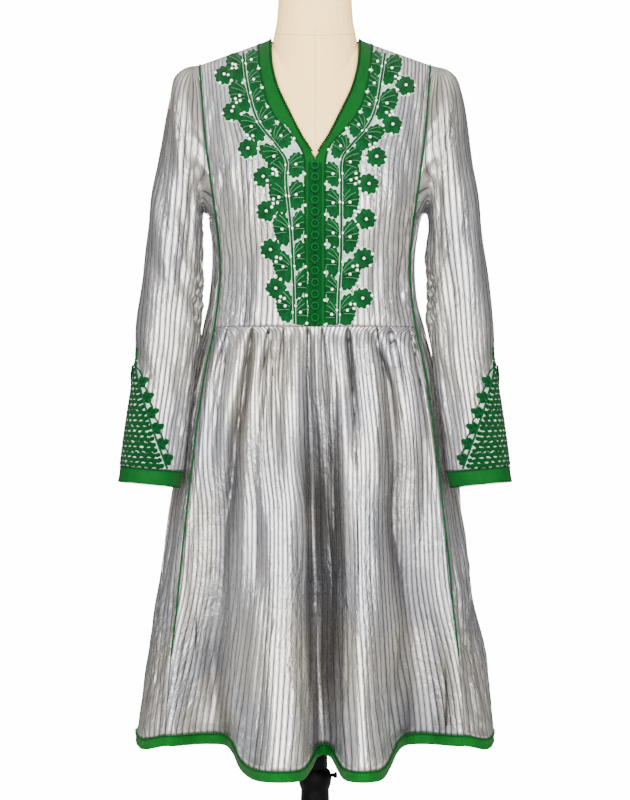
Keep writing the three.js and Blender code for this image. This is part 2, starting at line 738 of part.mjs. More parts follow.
function formRing(height) {
  const room = CLOTH + FORM_CLEARANCE;
  const reach = (shoulderAt(0) - room - height) / SHOULDER_SLOPE;
  const half = Math.min(ARM_PLATE, reach, halfWidthAt(height) - easeSides(height));
  return steps(32).slice(0, -1).map((t) => {
    const angle = 2 * Math.PI * t;
    const side = Math.sin(angle) < 0 ? -1 : 1;
    const x = half * Math.cos(angle);
    const surface = bodyPoint(x, height, side);
    const ease = side < 0 ? easeFront(height) : easeBack(height);
    const share = clamp01((height - UNDERARM) / (shoulderAt(x) - room - UNDERARM));
    const depth = (side < 0 ? frontAt(height) : backAt(height)) - ease;
    const width = halfWidthAt(height) - easeSides(height);
    const centre = RIDGE_Y * smooth((height - UNDERARM) / 200);
    const deep = depth * roundness(x / width) * Math.sqrt(1 - share ** 3);
    const flat = Math.abs(Math.sin(angle)) < 1e-9 ? 0 : deep;
    return new THREE.Vector3(surface.x, centre + side * flat, height);
  });
}
const torsoHeights = [
  815, 830, 860, 905, 950, 990, 1030, 1070, 1110, 1150, 1183, 1220, 1260, 1300, 1335, 1362, 1383, 1400, 1412, 1421,
];
const neckRing = (height) => steps(32).slice(0, -1).map((t) => {
  const angle = 2 * Math.PI * t;
  const extra = neckFlareAt(height);
  return new THREE.Vector3(
    (NECK.halfWidth + extra) * Math.cos(angle),
    NECK.y + (NECK.halfDepth + extra) * Math.sin(angle),
    height,
  );
});
const torso = toManifold(ringSolid(torsoHeights.map(formRing)));
const neck = toManifold(ringSolid([1330, 1370, 1400, 1427, 1439, 1451, 1470, 1490, NECK.top].map(neckRing)));
add('form_torso', fromManifold(torso.add(neck)), LINEN);

const capProfile = table('radius height', [
  [0, 0],
  [49, 0],
  [52, 3],
  [52, 9],
  [48, 14],
  [30, 18],
  [0, 19],
]).map((p) => new THREE.Vector2(p.radius, p.height));
const capGeometry = new THREE.LatheGeometry(capProfile, 20);
capGeometry.rotateX(Math.PI / 2);
capGeometry.translate(0, NECK.y, NECK.top + 0.3);
add('form_neck_cap', capGeometry, BLACK);

// Stand: a round base, a turned column with a bead at its collar, a pole that slides in it, and its screw
const POLE = { radius: 17.5, bottom: 225, top: 814.6, clearance: 0.6 };
const FORM_TO_POLE = { x: 0, y: 0 };
const lathe = (rows, segments) => {
  const geometry = new THREE.LatheGeometry(rows.map((p) => new THREE.Vector2(p.radius, p.height)), segments);
  return geometry.rotateX(Math.PI / 2);
};
add('stand_base', lathe(table('radius height', [
  [0, 0],
  [188, 0],
  [190, 4],
  [190, 14],
  [182, 22],
  [150, 27],
  [60, 34],
  [46, 42],
  [0, 42],
]), 32), BLACK);
const bore = POLE.radius + POLE.clearance;
add('stand_column', lathe(table('radius height', [
  [0, 42.3],
  [44, 42.3],
  [46, 50],
  [38, 62],
  [27, 74],
  [25, 92],
  [31, 130],
  [33, 175],
  [30, 235],
  [24, 300],
  [20.6, 352],
  [19.6, 378],
  [22.5, 386],
  [23.4, 395],
  [22, 402],
  [20.4, 406],
  [bore, 406],
  [bore, 62],
  [0, 62],
]), 20), BLACK);
add('stand_pole', lathe(table('radius height', [
  [0, POLE.bottom],
  [POLE.radius, POLE.bottom],
  [POLE.radius, POLE.top],
  [0, POLE.top],
]), 20), BLACK);
const screw = lathe(table('radius height', [
  [0, 0],
  [2.2, 0],
  [2.2, 3.2],
  [4.6, 4],
  [4.6, 7.5],
  [0, 8],
]), 8);
screw.rotateY(Math.PI / 2);
screw.translate(23.4, FORM_TO_POLE.y, 398);
add('stand_screw', screw, BLACK);

export default dress;
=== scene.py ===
# %% [markdown]
# # A striped tunic dress on a dress form
# The CAD model already holds every cut piece as a thin plain wall. This lesson dresses it for the
# camera: the same shapes are worked out again from the same named sizes, much finer, and then get
# what cloth really has, such as soft folds, creases, stripes, braid, needlework and pearls.
# Nothing is placed by eye in empty space: each piece lies on the one it is sewn to.

# %% Load the CAD frame
import math
import bpy
import numpy as np
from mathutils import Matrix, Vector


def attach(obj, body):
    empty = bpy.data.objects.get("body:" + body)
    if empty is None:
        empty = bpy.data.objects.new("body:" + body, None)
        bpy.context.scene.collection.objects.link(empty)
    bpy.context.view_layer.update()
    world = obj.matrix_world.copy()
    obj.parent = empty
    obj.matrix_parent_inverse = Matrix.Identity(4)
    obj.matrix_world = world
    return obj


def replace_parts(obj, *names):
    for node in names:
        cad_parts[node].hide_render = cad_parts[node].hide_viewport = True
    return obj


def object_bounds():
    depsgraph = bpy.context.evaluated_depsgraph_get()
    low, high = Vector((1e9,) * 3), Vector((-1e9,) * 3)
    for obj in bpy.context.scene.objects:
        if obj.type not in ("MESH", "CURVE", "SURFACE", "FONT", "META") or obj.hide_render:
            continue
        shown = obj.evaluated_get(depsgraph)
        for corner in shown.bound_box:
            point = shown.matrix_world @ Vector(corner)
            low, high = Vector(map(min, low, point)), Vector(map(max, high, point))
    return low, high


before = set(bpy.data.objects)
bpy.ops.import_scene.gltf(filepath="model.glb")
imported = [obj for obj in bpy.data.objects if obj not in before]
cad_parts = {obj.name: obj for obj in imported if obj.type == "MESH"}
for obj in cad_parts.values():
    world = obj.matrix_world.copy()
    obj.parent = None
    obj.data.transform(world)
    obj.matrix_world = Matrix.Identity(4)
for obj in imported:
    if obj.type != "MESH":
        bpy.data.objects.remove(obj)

cad_box = [list(corner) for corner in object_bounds()]
print("CAD box, metres:", [[round(v, 3) for v in corner] for corner in cad_box])

# %% [markdown]
# ## Sizes
# A dressmaker works from a short list of measurements. Every surface below comes from these few
# tables, in millimetres, with the front of the dress facing -Y and the floor at height 0.
# A table has one row for each height and one named column for each size.

# %% Small tools for numbers
def table(columns, rows):
    """Rows of numbers as named columns."""
    return dict(zip(columns.split(), np.array(rows, float).T))


def mix(a, b, t):
    return a + (b - a) * t


def smooth(t):
    t = np.clip(t, 0, 1)
    return t * t * (3 - 2 * t)


def spline(x, y):
    """A smooth curve through points, level past both ends. y may hold whole points."""
    x, y = np.asarray(x, float), np.asarray(y, float)
    order = np.argsort(x)
    x, y = x[order], y[order]
    lo, hi = np.r_[0, 0:len(x) - 1], np.r_[1:len(x), len(x) - 1]
    run = np.reshape(x[hi] - x[lo], (-1,) + (1,) * (y.ndim - 1))
    slope = (y[hi] - y[lo]) / run

    def at(q):
        q = np.clip(np.asarray(q, float), x[0], x[-1])
        i = np.clip(np.searchsorted(x, q, side="right") - 1, 0, len(x) - 2)
        wide = x[i + 1] - x[i]
        t = (q - x[i]) / wide
        wide, t = (np.reshape(v, q.shape + (1,) * (y.ndim - 1)) for v in (wide, t))
        ends = y[i] * (1 + 2 * t) * (1 - t) ** 2 + y[i + 1] * t * t * (3 - 2 * t)
        return ends + wide * (slope[i] * t * (1 - t) ** 2 - slope[i + 1] * t * t * (1 - t))

    return at


def along(points, shares):
    """A polyline's points again, at given shares of its length."""
    steps = np.r_[0, np.cumsum(np.linalg.norm(np.diff(points, axis=0), axis=1))]
    wanted = np.asarray(shares) * steps[-1]
    return np.stack([np.interp(wanted, steps, points[:, k]) for k in range(points.shape[1])], -1)


# %% The garment's measurements
HEM, HEM_LIFT, HEM_BAND = 409, 36, 15
WAIST, UNDERARM = 1024, 1176
NECK_X, NECK_HEIGHT, SHOULDER_SLOPE = 63.4, 1427, 0.354
BAND_CORNER, PLACKET_HALF, V_POINT = 81, 15, 1254.5
BACK_SEAM, BACK_EDGE, BACK_POWER = 1392, 1412, 2.2
SECTION_POWER, RIDGE_Y = 2.35, 5
LIFT_FROM = 700
PANEL_GAP, SKIRT_GAP = 0.1, 0.12
STRIPE = 7.2

BODY = table("height half front back", [
    [409, 252, 92, 92], [540, 237, 104, 102], [640, 223, 112, 110], [720, 211.5, 118, 115],
    [800, 199.5, 122, 118], [890, 183, 124, 120], [965, 167, 118, 110], [1020, 152.5, 106, 92],
    [1060, 143, 107, 90], [1112, 139, 114, 93], [1150, 142.5, 123, 97], [1183, 151, 126, 101],
    [1230, 165, 119, 104], [1283, 172, 107, 104], [1340, 175, 95, 100], [1400, 176, 84, 90],
    [1450, 176, 76, 84]])
SEAM = table("height x", [
    [409, 208.5], [550, 198.5], [615, 192], [706, 183.7], [810, 171.6], [890, 162.2], [965, 150.9],
    [1024, 139], [1090, 131.5], [1131, 132], [1176, 137], [1215, 142.3], [1271, 149.9],
    [1331, 155.6], [1391, 161]])
NECKLINE = table("height x", [
    [V_POINT, 0.25], [1263, 5.5], [1272, 11], [1285.8, 19.8], [1325.8, 39.5], [1356.3, 53],
    [1389.4, 61], [1427, NECK_X]])
BRAID_SEAM = table("height x", [
    [1222, PLACKET_HALF], [1240, 15.2], [1258, 16.8], [1272, 23], [1284, 33], [1295, 44.5], [1314, 58.5],
    [1337, 69], [1380, 77.6], [1421, BAND_CORNER]])
half_at = spline(BODY["height"], BODY["half"])
front_at = spline(BODY["height"], BODY["front"])
back_at = spline(BODY["height"], BODY["back"])
seam_at = spline(SEAM["height"], SEAM["x"])
neckline_at = spline(NECKLINE["height"], NECKLINE["x"])
braid_seam_at = spline(BRAID_SEAM["height"], BRAID_SEAM["x"])
print("bust round, about", round(2 * (half_at(1183) + front_at(1183) + back_at(1183)) * 0.88), "mm")

# %% [markdown]
# ## The body under the cloth
# On the real dress a firm body gives the cloth its shape. It could be a sculpted mesh, but then every
# trim would have to be fitted to it. One function returns the dress's surface for any place in front
# view instead, moved out as far as asked, so each trim can be laid on it.

# %% The body's surface
def shoulder_at(x):
    return NECK_HEIGHT - SHOULDER_SLOPE * (np.abs(x) - NECK_X)


def on_body(x, height, side, out=0.0):
    """Points of the dress's front (side -1) or back (side 1), moved out by some millimetres."""
    def surface(x, height):
        share = np.clip((height - UNDERARM) / (shoulder_at(x) - UNDERARM), 0, 1)
        round_ = (1 - np.minimum(np.abs(x / half_at(height)), 1) ** SECTION_POWER) ** (1 / SECTION_POWER)
        depth = np.where(side < 0, front_at(height), back_at(height))
        return RIDGE_Y * smooth((height - UNDERARM) / 200) + side * depth * round_ * np.sqrt(1 - share ** 3)

    x, height, out = np.broadcast_arrays(np.asarray(x, float), np.asarray(height, float), out)
    points = np.stack([x, surface(x, height), height], -1)
    if not np.any(out):
        return points
    step = np.clip((shoulder_at(x) - height) / 3, 0.02, 0.5)
    dx = (surface(x + step, height) - surface(x - step, height)) / (2 * step)
    dz = (surface(x, height + step) - surface(x, height - step)) / (2 * step)
    normal = np.stack([-side * dx, side * np.ones_like(dx), -side * dz], -1)
    normal /= np.linalg.norm(normal, axis=-1, keepdims=True)
    return points + normal * out[..., None]


BELOW_ARM, NEAR_SHOULDER = 0.4, np.array(1400.0)


def body_line(share, inner, outer, rows, side, top_at=None):
    """A line of points up a bodice panel, from the waist seam to the shoulder, evenly spaced."""
    t = np.linspace(0, 1, 260)
    x = np.full_like(t, mix(inner(NEAR_SHOULDER), outer(NEAR_SHOULDER), share))
    for _ in range(5):
        shoulder = shoulder_at(x)
        top = np.minimum(shoulder if top_at is None else top_at(x), shoulder)
        reach = np.clip((top - UNDERARM) / (shoulder - UNDERARM), 0, 1)
        climb = np.clip((t - BELOW_ARM) / (1 - BELOW_ARM), 0, 1)
        rise = np.sin(np.arcsin(reach ** 1.5) * climb) ** (2 / 3)
        lower, upper = mix(WAIST, UNDERARM, t / BELOW_ARM), UNDERARM + (shoulder - UNDERARM) * rise
        height = np.where(t < BELOW_ARM, lower, upper)
        x = mix(inner(height), outer(height), share)
    return along(on_body(x, height, side), rows)


# %% [markdown]
# ## Cloth as grids
# Each cut piece is a grid of points: columns across the cloth, rows up it. The grid keeps its own
# measure of the cloth in metres as a UV map, so stripes and weave stay the right width wherever the
# piece bends. A Solidify modifier then gives the sheet its thickness, as CAD does with a wall.

# %% From a grid to a piece
made = []


def rule(grid):
    """The cloth's own measure across and up a grid, in millimetres."""
    across = np.linalg.norm(np.diff(grid, axis=1), axis=2).mean(0)
    up = np.linalg.norm(np.diff(grid, axis=0), axis=2).mean(1)
    u, v = np.r_[0, np.cumsum(across)], np.r_[0, np.cumsum(up)]
    return np.stack(np.meshgrid(u, v), -1)


def ways_out(grid, wrap=False):
    """Unit normals of a grid of points."""
    if wrap:
        across = np.roll(grid, -1, 1) - np.roll(grid, 1, 1)
    else:
        across = np.gradient(grid, axis=1)
    normal = np.cross(across, np.gradient(grid, axis=0))
    return normal / np.maximum(np.linalg.norm(normal, axis=-1, keepdims=True), 1e-9)


def piece(name, points, faces, uv, finish, slot, body="dressed_form"):
    """A Blender object from points in millimetres, smooth-shaded, riding on a CAD body."""
    mesh = bpy.data.meshes.new(name)
    mesh.from_pydata((np.asarray(points) / 1000).tolist(), [], [list(f) for f in faces])
    layer = mesh.uv_layers.new(name="cloth")
    layer.data.foreach_set("uv", (np.asarray(uv, float) / 1000).ravel())
    mesh.polygons.foreach_set("use_smooth", [True] * len(mesh.polygons))
    mesh.materials.append(finish)
    mesh.update()
    obj = bpy.data.objects.new(name, mesh)
    bpy.context.collection.objects.link(obj)
    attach(obj, body)
    made.append(obj)
    return obj


def grid_faces(rows, columns, wrap=False):
    """Corner indices of a grid's squares, and the same with the last column kept apart for UVs."""
    last = columns if wrap else columns - 1
    r, c = np.meshgrid(np.arange(rows - 1), np.arange(last), indexing="ij")
    r, c = r.ravel(), c.ravel()
    corners = [(r, c), (r, c + 1), (r + 1, c + 1), (r + 1, c)]
    faces = np.stack([row * columns + column % columns for row, column in corners], -1)
    wide = columns + 1 if wrap else columns
    spots = np.stack([row * wide + column for row, column in corners], -1)
    return faces, spots


def cloth(name, grid, finish, slot, uv=None, wrap=False, thick=1.2, fold_shade=None):
    """A sheet of cloth on a grid, thickened inwards. Its last argument, 0 to 1, is the painted shade deep in
    its folds.
    """
    rows, columns = grid.shape[:2]
    faces, spots = grid_faces(rows, columns, wrap)
    if uv is None:
        uv = rule(np.concatenate([grid, grid[:, :1]], 1) if wrap else grid)
    obj = piece(name, grid.reshape(-1, 3), faces, uv.reshape(-1, 2)[spots.ravel()], finish, slot)
    # The painted shade of the folds is kept on the points, for the finish to darken by.
    if fold_shade is not None:
        mark = obj.data.attributes.new("fold_shade", "FLOAT", "POINT")
        mark.data.foreach_set("value", np.asarray(fold_shade, float).ravel())
    wall = obj.modifiers.new("thickness", "SOLIDIFY")
    wall.thickness, wall.offset = thick / 1000, -1
    return obj


def tube(line, radius, around=8):
    """Points and faces of a round cord along a line of points, with closed ends."""
    line = np.asarray(line, float)
    way = np.gradient(line, axis=0)
    way /= np.linalg.norm(way, axis=1, keepdims=True)
    side = np.cross(way, np.array([0.0, 1.0, 0.001]))
    side /= np.maximum(np.linalg.norm(side, axis=1, keepdims=True), 1e-9)
    over = np.cross(way, side)
    angle = np.linspace(0, 2 * np.pi, around, endpoint=False)
    radius = np.broadcast_to(np.asarray(radius, float), len(line))[:, None, None]
    ring = side[:, None] * np.cos(angle)[None, :, None] + over[:, None] * np.sin(angle)[None, :, None]
    points = (line[:, None] + ring * radius).reshape(-1, 3)
    faces = grid_faces(len(line), around, True)[0].tolist()
    faces += [list(range(around))[::-1], list(range((len(line) - 1) * around, len(line) * around))]
    return points, faces


def joined(parts):
    """Several lots of points and faces as one, with a plain measure taken from front view."""
    points, faces, start = [], [], 0
    for p, f in parts:
        points.append(np.asarray(p, float))
        faces += [[i + start for i in face] for face in f]
        start += len(p)
    points = np.concatenate(points)
    flat = [i for face in faces for i in face]
    return points, faces, points[flat][:, [0, 2]]


def sewn_on(name, parts, finish, slot="embroidery"):
    """One piece from several cords or rows of beads."""
    points, faces, uv = joined(parts)
    return piece(name, points, faces, uv, finish, slot)


# %% [markdown]
# ## Uneven cloth
# Real cloth is never a clean surface. A crease is a shallow valley along a short line, with a small
# ridge beside it, and each is placed one by one in the cloth's own millimetres. Between the creases a
# sum of long slow waves, from a fixed seed, keeps large areas from looking moulded.

# %% Creases and waves
def pressed(grid, push, still, wrap, keep):
    """Moves a grid along its normals, dying out towards the sewn edges and where keep is 0."""
    measure = rule(np.concatenate([grid, grid[:, :1]], 1) if wrap else grid)[:, :grid.shape[1]]
    edge = np.minimum(measure[..., 1], measure[-1, 0, 1] - measure[..., 1])
    if not wrap:
        edge = np.minimum(edge, np.minimum(measure[..., 0], measure[0, -1, 0] - measure[..., 0]))
    return grid + ways_out(grid, wrap) * (push * smooth(edge / still) * keep)[..., None]


def creased(grid, creases, wrap=False, still=10, keep=1.0):
    """Presses creases into a grid. A crease is from u, v to u, v with a width and a depth."""
    measure = rule(np.concatenate([grid, grid[:, :1]], 1) if wrap else grid)[:, :grid.shape[1]]
    push = np.zeros(grid.shape[:2])
    for u0, v0, u1, v1, width, depth in creases:
        start, way = np.array([u0, v0]), np.array([u1 - u0, v1 - v0])
        length = np.hypot(*way)
        rel = measure - start
        t = np.clip((rel @ way) / length ** 2, 0, 1)
        off = rel - t[..., None] * way
        sign = np.sign(rel[..., 0] * way[1] - rel[..., 1] * way[0])
        away = np.hypot(off[..., 0], off[..., 1]) * sign
        fade = np.sin(np.pi * np.clip(t, 0.02, 0.98)) ** 0.6
        push -= depth * fade * np.exp(-(away / width) ** 2)
        push += 0.5 * depth * fade * np.exp(-((away - 1.7 * width) / width) ** 2)
    return pressed(grid, push, still, wrap, keep)


def waved(grid, size, wide, tall, seed, wrap=False, still=18, keep=1.0, sharp=0.0):
    """Adds slow waves. With sharp, each wave gets a pointed crest, as crushed cloth has."""
    chance = np.random.RandomState(seed)
    measure = rule(np.concatenate([grid, grid[:, :1]], 1) if wrap else grid)[:, :grid.shape[1]]
    around = measure[0, -1, 0] + (measure[0, 1, 0] if wrap else 0)
    push = np.zeros(grid.shape[:2])
    for _ in range(3):
        wave = np.zeros(grid.shape[:2])
        for _ in range(12):
            if wrap:
                across = chance.randint(-1 - int(around / wide), 2 + int(around / wide)) * 2 * np.pi / around
            else:
                across = chance.normal(0, 2 * np.pi / wide)
            up = chance.normal(0, 2 * np.pi / tall)
            wave += np.sin(measure[..., 0] * across + measure[..., 1] * up + chance.uniform(0, 6.3))
        wave /= 2.4
        push += mix(wave, 0.6 - 1.6 * np.abs(wave), sharp)
    return pressed(grid, push * size / 1.7, still, wrap, keep)

# %% [markdown]
# ## Finishes
# A shader is easier to read as sums. `Wire` wraps a node's output so that Python's own signs add Math
# nodes, and `Finish.node` makes every other node in one way. What stays the same all over a surface
# is set on the shader itself.

# %% Sums with sockets
class Wire:
    """A socket that can be added, taken away, multiplied, divided and reshaped."""

    def __init__(self, finish, socket):
        self.finish, self.socket = finish, socket

    def sum(self, operation, *values):
        return self.finish.node("ShaderNodeMath", {"operation": operation}, dict(enumerate(values)))

    def __add__(self, other):
        return self.sum("ADD", self, other)

    def __sub__(self, other):
        return self.sum("SUBTRACT", self, other)

    def __rsub__(self, other):
        return self.sum("SUBTRACT", other, self)

    def __mul__(self, other):
        return self.sum("MULTIPLY", self, other)

    def __truediv__(self, other):
        return self.sum("DIVIDE", self, other)

    __radd__, __rmul__ = __add__, __mul__

    def saw(self):
        return self.sum("FRACT", self)

    def floor(self):
        return self.sum("FLOOR", self)

    def size(self):
        return self.sum("ABSOLUTE", self)

    def sine(self):
        return self.sum("SINE", self)

    def to(self, low, high, start=0.0, end=1.0):
        """Smoothly from start to end while this goes from low to high."""
        return self.finish.node("ShaderNodeMapRange", {"interpolation_type": "SMOOTHSTEP"}, {
            "Value": self, "From Min": low, "From Max": high, "To Min": start, "To Max": end})


class Nodes:
    """Any node tree, built up node by node."""

    def __init__(self, tree):
        self.tree = tree

    def node(self, kind, settings=None, values=None, out=0):
        node = self.tree.nodes.new(kind)
        for key, value in (settings or {}).items():
            setattr(node, key, value)
        for key, value in (values or {}).items():
            if isinstance(value, Wire):
                self.tree.links.new(value.socket, node.inputs[key])
            else:
                node.inputs[key].default_value = value
        return Wire(self, node.outputs[out])

    def part(self, vector, k):
        return self.node("ShaderNodeSeparateXYZ", None, {0: vector}, k)

    def at(self, u, v, w=0.0):
        return self.node("ShaderNodeCombineXYZ", None, {0: u, 1: v, 2: w})

    def noise(self, where, scale, detail=3.0, rough=0.5):
        return self.node("ShaderNodeTexNoise", None, {
            "Vector": where, "Scale": scale, "Detail": detail, "Roughness": rough})

    def colours(self, share, first, second):
        return self.node("ShaderNodeMix", {"data_type": "RGBA"}, {0: share, 6: first, 7: second}, 2)


class Finish(Nodes):
    """A material made by steps, around one Principled shader."""

    def __init__(self, name, **constants):
        self.material = bpy.data.materials.new(name)
        self.material.use_nodes = True
        super().__init__(self.material.node_tree)
        self.shader = self.tree.nodes["Principled BSDF"]
        for key, value in constants.items():
            self.shader.inputs[key.replace("_", " ")].default_value = value

    def across_up(self):
        """The cloth's own measure in metres: across it, and up it."""
        uv = self.node("ShaderNodeUVMap", {"uv_map": "cloth"})
        return self.part(uv, 0), self.part(uv, 1)

    def here(self):
        """Place in the object, in metres."""
        return self.node("ShaderNodeTexCoord", None, None, "Object")

    def set(self, bump=None, bump_height=0.001, bump_strength=1.0, **links):
        for key, value in links.items():
            self.tree.links.new(value.socket, self.shader.inputs[key.replace("_", " ")])
        if bump is not None:
            normal = self.node("ShaderNodeBump", None, {
                "Height": bump, "Distance": bump_height, "Strength": bump_strength})
            self.tree.links.new(normal.socket, self.shader.inputs["Normal"])
        return self.material

# %% [markdown]
# ### The striped cloth
# The dress is a light lame: metal thread woven into a pale ground, with a shiny stripe, a matt stripe
# and a thin sunk line between them, about 7 mm in all. The metal thread has been crushed by wear, so
# the shine breaks up into small flecks and streaks along the stripe. Metalness and roughness vary with
# the stripe, and a bump gives the ribs and the crumple. Deep in a fold the cloth mirrors only more dark
# cloth, so the skirt carries a number for how deep in a fold each point lies, and the finish is painted
# darker by it: painted shade in the folds.

# %% Striped lame
# light scales the whole tone of a copy: above 1 it is painted light, below 1 painted shade.
def striped(name, seed, light=1.0, crushed=1.0):
    f = Finish(name, Specular_IOR_Level=0.35)
    u, v = f.across_up()
    wander = (f.noise(f.at(u * 22.0, v * 4.0, seed), 1.0, 2.0) - 0.5) * 0.006
    step = (u + wander) / (STRIPE / 1000)
    from_line = (step.saw() - 0.5).size()
    own = f.node("ShaderNodeTexWhiteNoise", {"noise_dimensions": "1D"}, {"W": step.floor() + seed * 7.3})
    patch = f.noise(f.at(u * 13.0, v * 7.0, seed + 3.0), 1.0, 3.0, 0.6)
    worn = patch.to(0.52, 0.7)
    band = from_line.to(0.20 - own * 0.12, 0.32 - own * 0.06) * 0.55
    line = from_line.to(0.38, 0.46) * 0.55
    dark = (band + line) * (1.0 - worn * 0.55)
    fold = (f.noise(f.at(u * 62.0, v * 17.0, seed), 1.0, 4.0, 0.6) - 0.5).size()
    cross = (f.noise(f.at(u * 40.0 + v * 25.0, v * 48.0, seed + 5.0), 1.0, 3.0, 0.55) - 0.5).size()
    fleck = f.noise(f.at(u * 1100.0, v * 240.0, seed), 1.0, 2.0)
    grain = f.noise(f.at(u * 700.0, v * 60.0, seed), 1.0, 2.0)
    crush = patch.to(0.40, 0.62, 0.25, 1.0)
    tone = 0.86 + (own - 0.5) * 0.3 + (grain - 0.5) * 0.5 + (fleck - 0.5) * 0.25 - worn * 0.2
    # Painted shade: the finish darkens by how deep in a fold the cloth lies.
    fold_shade = f.node("ShaderNodeAttribute", {"attribute_name": "fold_shade"}, None, 2)
    tone = (tone - dark * 0.8) * light * (1.0 - fold_shade * 0.68)
    cool = f.noise(f.at(u * 9.0, v * 5.0, seed + 9.0), 1.0, 2.0).to(0.4, 0.6)
    pale = f.colours(cool, (0.585, 0.555, 0.50, 1), (0.50, 0.505, 0.525, 1))
    crumple = fold * crush * 1.3 * crushed + cross * crush * 0.45 * crushed
    return f.set(
        Base_Color=f.colours(tone, (0.030, 0.027, 0.030, 1), pale),
        Metallic=0.85 - dark * 0.35,
        Roughness=0.29 + dark * 0.2 - (fleck - 0.5) * 0.2,
        bump=fleck * 0.012 - dark * 0.06 - crumple, bump_height=0.0062, bump_strength=0.9)


# The body's copy is painted a little lighter, and the sleeves' and side panels' copies darker: painted light
# and painted shade, as for cloth that faces the light or turns from it.
LAME = striped("striped_lame", 1.0, 1.07)
LAME_SLEEVE_SHADED = striped("striped_lame_sleeve_shaded", 4.0, 0.90, 1.2)
LAME_SIDE_SHADED = striped("striped_lame_side_shaded", 9.0, 0.85, 1.2)
print("stripe repeat", STRIPE, "mm")

# %% [markdown]
# ### Braid, thread, net and pearls
# The bands are a green satin braid with a fine slanting rib. The needlework is satin stitch: short
# threads side by side, so its shine runs along fine ridges. The net ground and the outlines are a
# pale mint, and the pearls a soft white.

# %% Trim finishes
GREEN_SHINE = (0.12, 0.9, 0.25, 1)


def braid(name, colour, dark):
    f = Finish(name, Specular_IOR_Level=0.25, Specular_Tint=GREEN_SHINE)
    u, v = f.across_up()
    cord = ((u + v * 0.7) * 3600.0).sine()
    rib = (u * 5200.0 - v * 1900.0).sine()
    uneven = f.noise(f.at(u * 60.0, v * 60.0), 1.0, 4.0)
    streak = f.noise(f.at(u * 500.0, v * 30.0), 1.0, 3.0)
    tone = cord * 0.12 + uneven * 0.5 + streak * 0.55 + rib * 0.06
    return f.set(
        Base_Color=f.colours(tone, dark, colour),
        Roughness=0.42 + uneven * 0.2,
        bump=cord * 0.35 + rib * 0.2 + uneven * 0.8, bump_height=0.0004, bump_strength=0.7)


def satin_stitch(name, colour, dark):
    f = Finish(name, Specular_IOR_Level=0.3, Specular_Tint=GREEN_SHINE)
    u, v = f.across_up()
    thread = (u * 4400.0).sine()
    uneven = f.noise(f.at(u * 260.0, v * 60.0), 1.0, 3.0)
    return f.set(
        Base_Color=f.colours(thread * 0.22 + uneven * 1.1 - 0.1, dark, colour),
        Roughness=0.38 + uneven * 0.2,
        bump=thread * 0.5 + uneven * 0.8, bump_height=0.0005, bump_strength=0.8)


def plain_thread(name, colour, dark, scale=300.0, rough=0.55, tint=(1, 1, 1, 1)):
    f = Finish(name, Specular_IOR_Level=0.25, Specular_Tint=tint)
    uneven = f.noise(f.here(), scale, 4.0)
    return f.set(Base_Color=f.colours(uneven, dark, colour), Roughness=rough + (uneven - 0.5) * 0.2,
                 bump=uneven, bump_height=0.0004)


def netting(name):
    f = Finish(name, Specular_IOR_Level=0.2)
    u, v = f.across_up()
    mesh = (u * 3400.0).sine() * (v * 3400.0).sine()
    uneven = f.noise(f.at(u * 90.0, v * 90.0), 1.0, 4.0)
    green = f.noise(f.at(u * 170.0, v * 170.0), 1.0, 3.0).to(0.52, 0.62, 0.0, 0.55)
    base = f.colours(mesh * 0.3 + uneven * 0.8, (0.26, 0.34, 0.29, 1), (0.56, 0.60, 0.56, 1))
    return f.set(Base_Color=f.colours(green, base, (0.10, 0.26, 0.15, 1)), Roughness=0.6 + uneven * 0.1,
                 bump=mesh * 0.4 + uneven, bump_height=0.0005)


BRAID = braid("green_satin_braid", (0.0030, 0.058, 0.0065, 1), (0.0012, 0.020, 0.003, 1))
# The hem braid is painted lighter than the cuff braid: painted light, for braid in the open light below the
# folds.
BRAID_HEM_LIT = braid("green_hem_braid_lit", (0.0036, 0.088, 0.0075, 1), (0.0012, 0.026, 0.003, 1))
BRAID_DARK = braid("green_dark_braid", (0.0020, 0.030, 0.006, 1), (0.0006, 0.009, 0.002, 1))
KNOT = braid("green_knot_cord", (0.0040, 0.062, 0.012, 1), (0.0012, 0.020, 0.003, 1))
STITCH = satin_stitch("green_satin_stitch", (0.0045, 0.048, 0.012, 1), (0.0010, 0.013, 0.003, 1))
PIPING = plain_thread("green_piping", (0.0030, 0.042, 0.012, 1), (0.0010, 0.015, 0.004, 1), tint=GREEN_SHINE)
MINT = plain_thread("mint_thread", (0.52, 0.66, 0.56, 1), (0.34, 0.52, 0.40, 1))
VEIN = plain_thread("pale_green_thread", (0.11, 0.36, 0.17, 1), (0.03, 0.16, 0.06, 1))
NET = netting("mint_net")
PEARL = plain_thread("pearl", (0.86, 0.90, 0.84, 1), (0.70, 0.76, 0.68, 1), 120.0, 0.3)

# %% [markdown]
# ### Form and stand
# The form is covered in cream jersey, with a close knit and a little shadow in the seams. The stand is
# black lacquer over turned wood: nearly smooth, with faint turning rings and dust in the gloss.

# %% Form and stand finishes
def jersey(name):
    f = Finish(name, Specular_IOR_Level=0.2)
    where = f.here()
    knit = f.node("ShaderNodeTexWave", {"bands_direction": "X"}, {
        "Vector": where, "Scale": 420.0, "Distortion": 1.5, "Detail": 2.0})
    uneven = f.noise(where, 14.0, 5.0)
    cream = f.colours(uneven * 0.7 + knit * 0.25, (0.95, 0.60, 0.22, 1), (1.0, 0.71, 0.31, 1))
    return f.set(Base_Color=cream, Roughness=0.8 + uneven * 0.1, bump=knit * 0.4 + uneven * 0.4,
                 bump_height=0.0004)


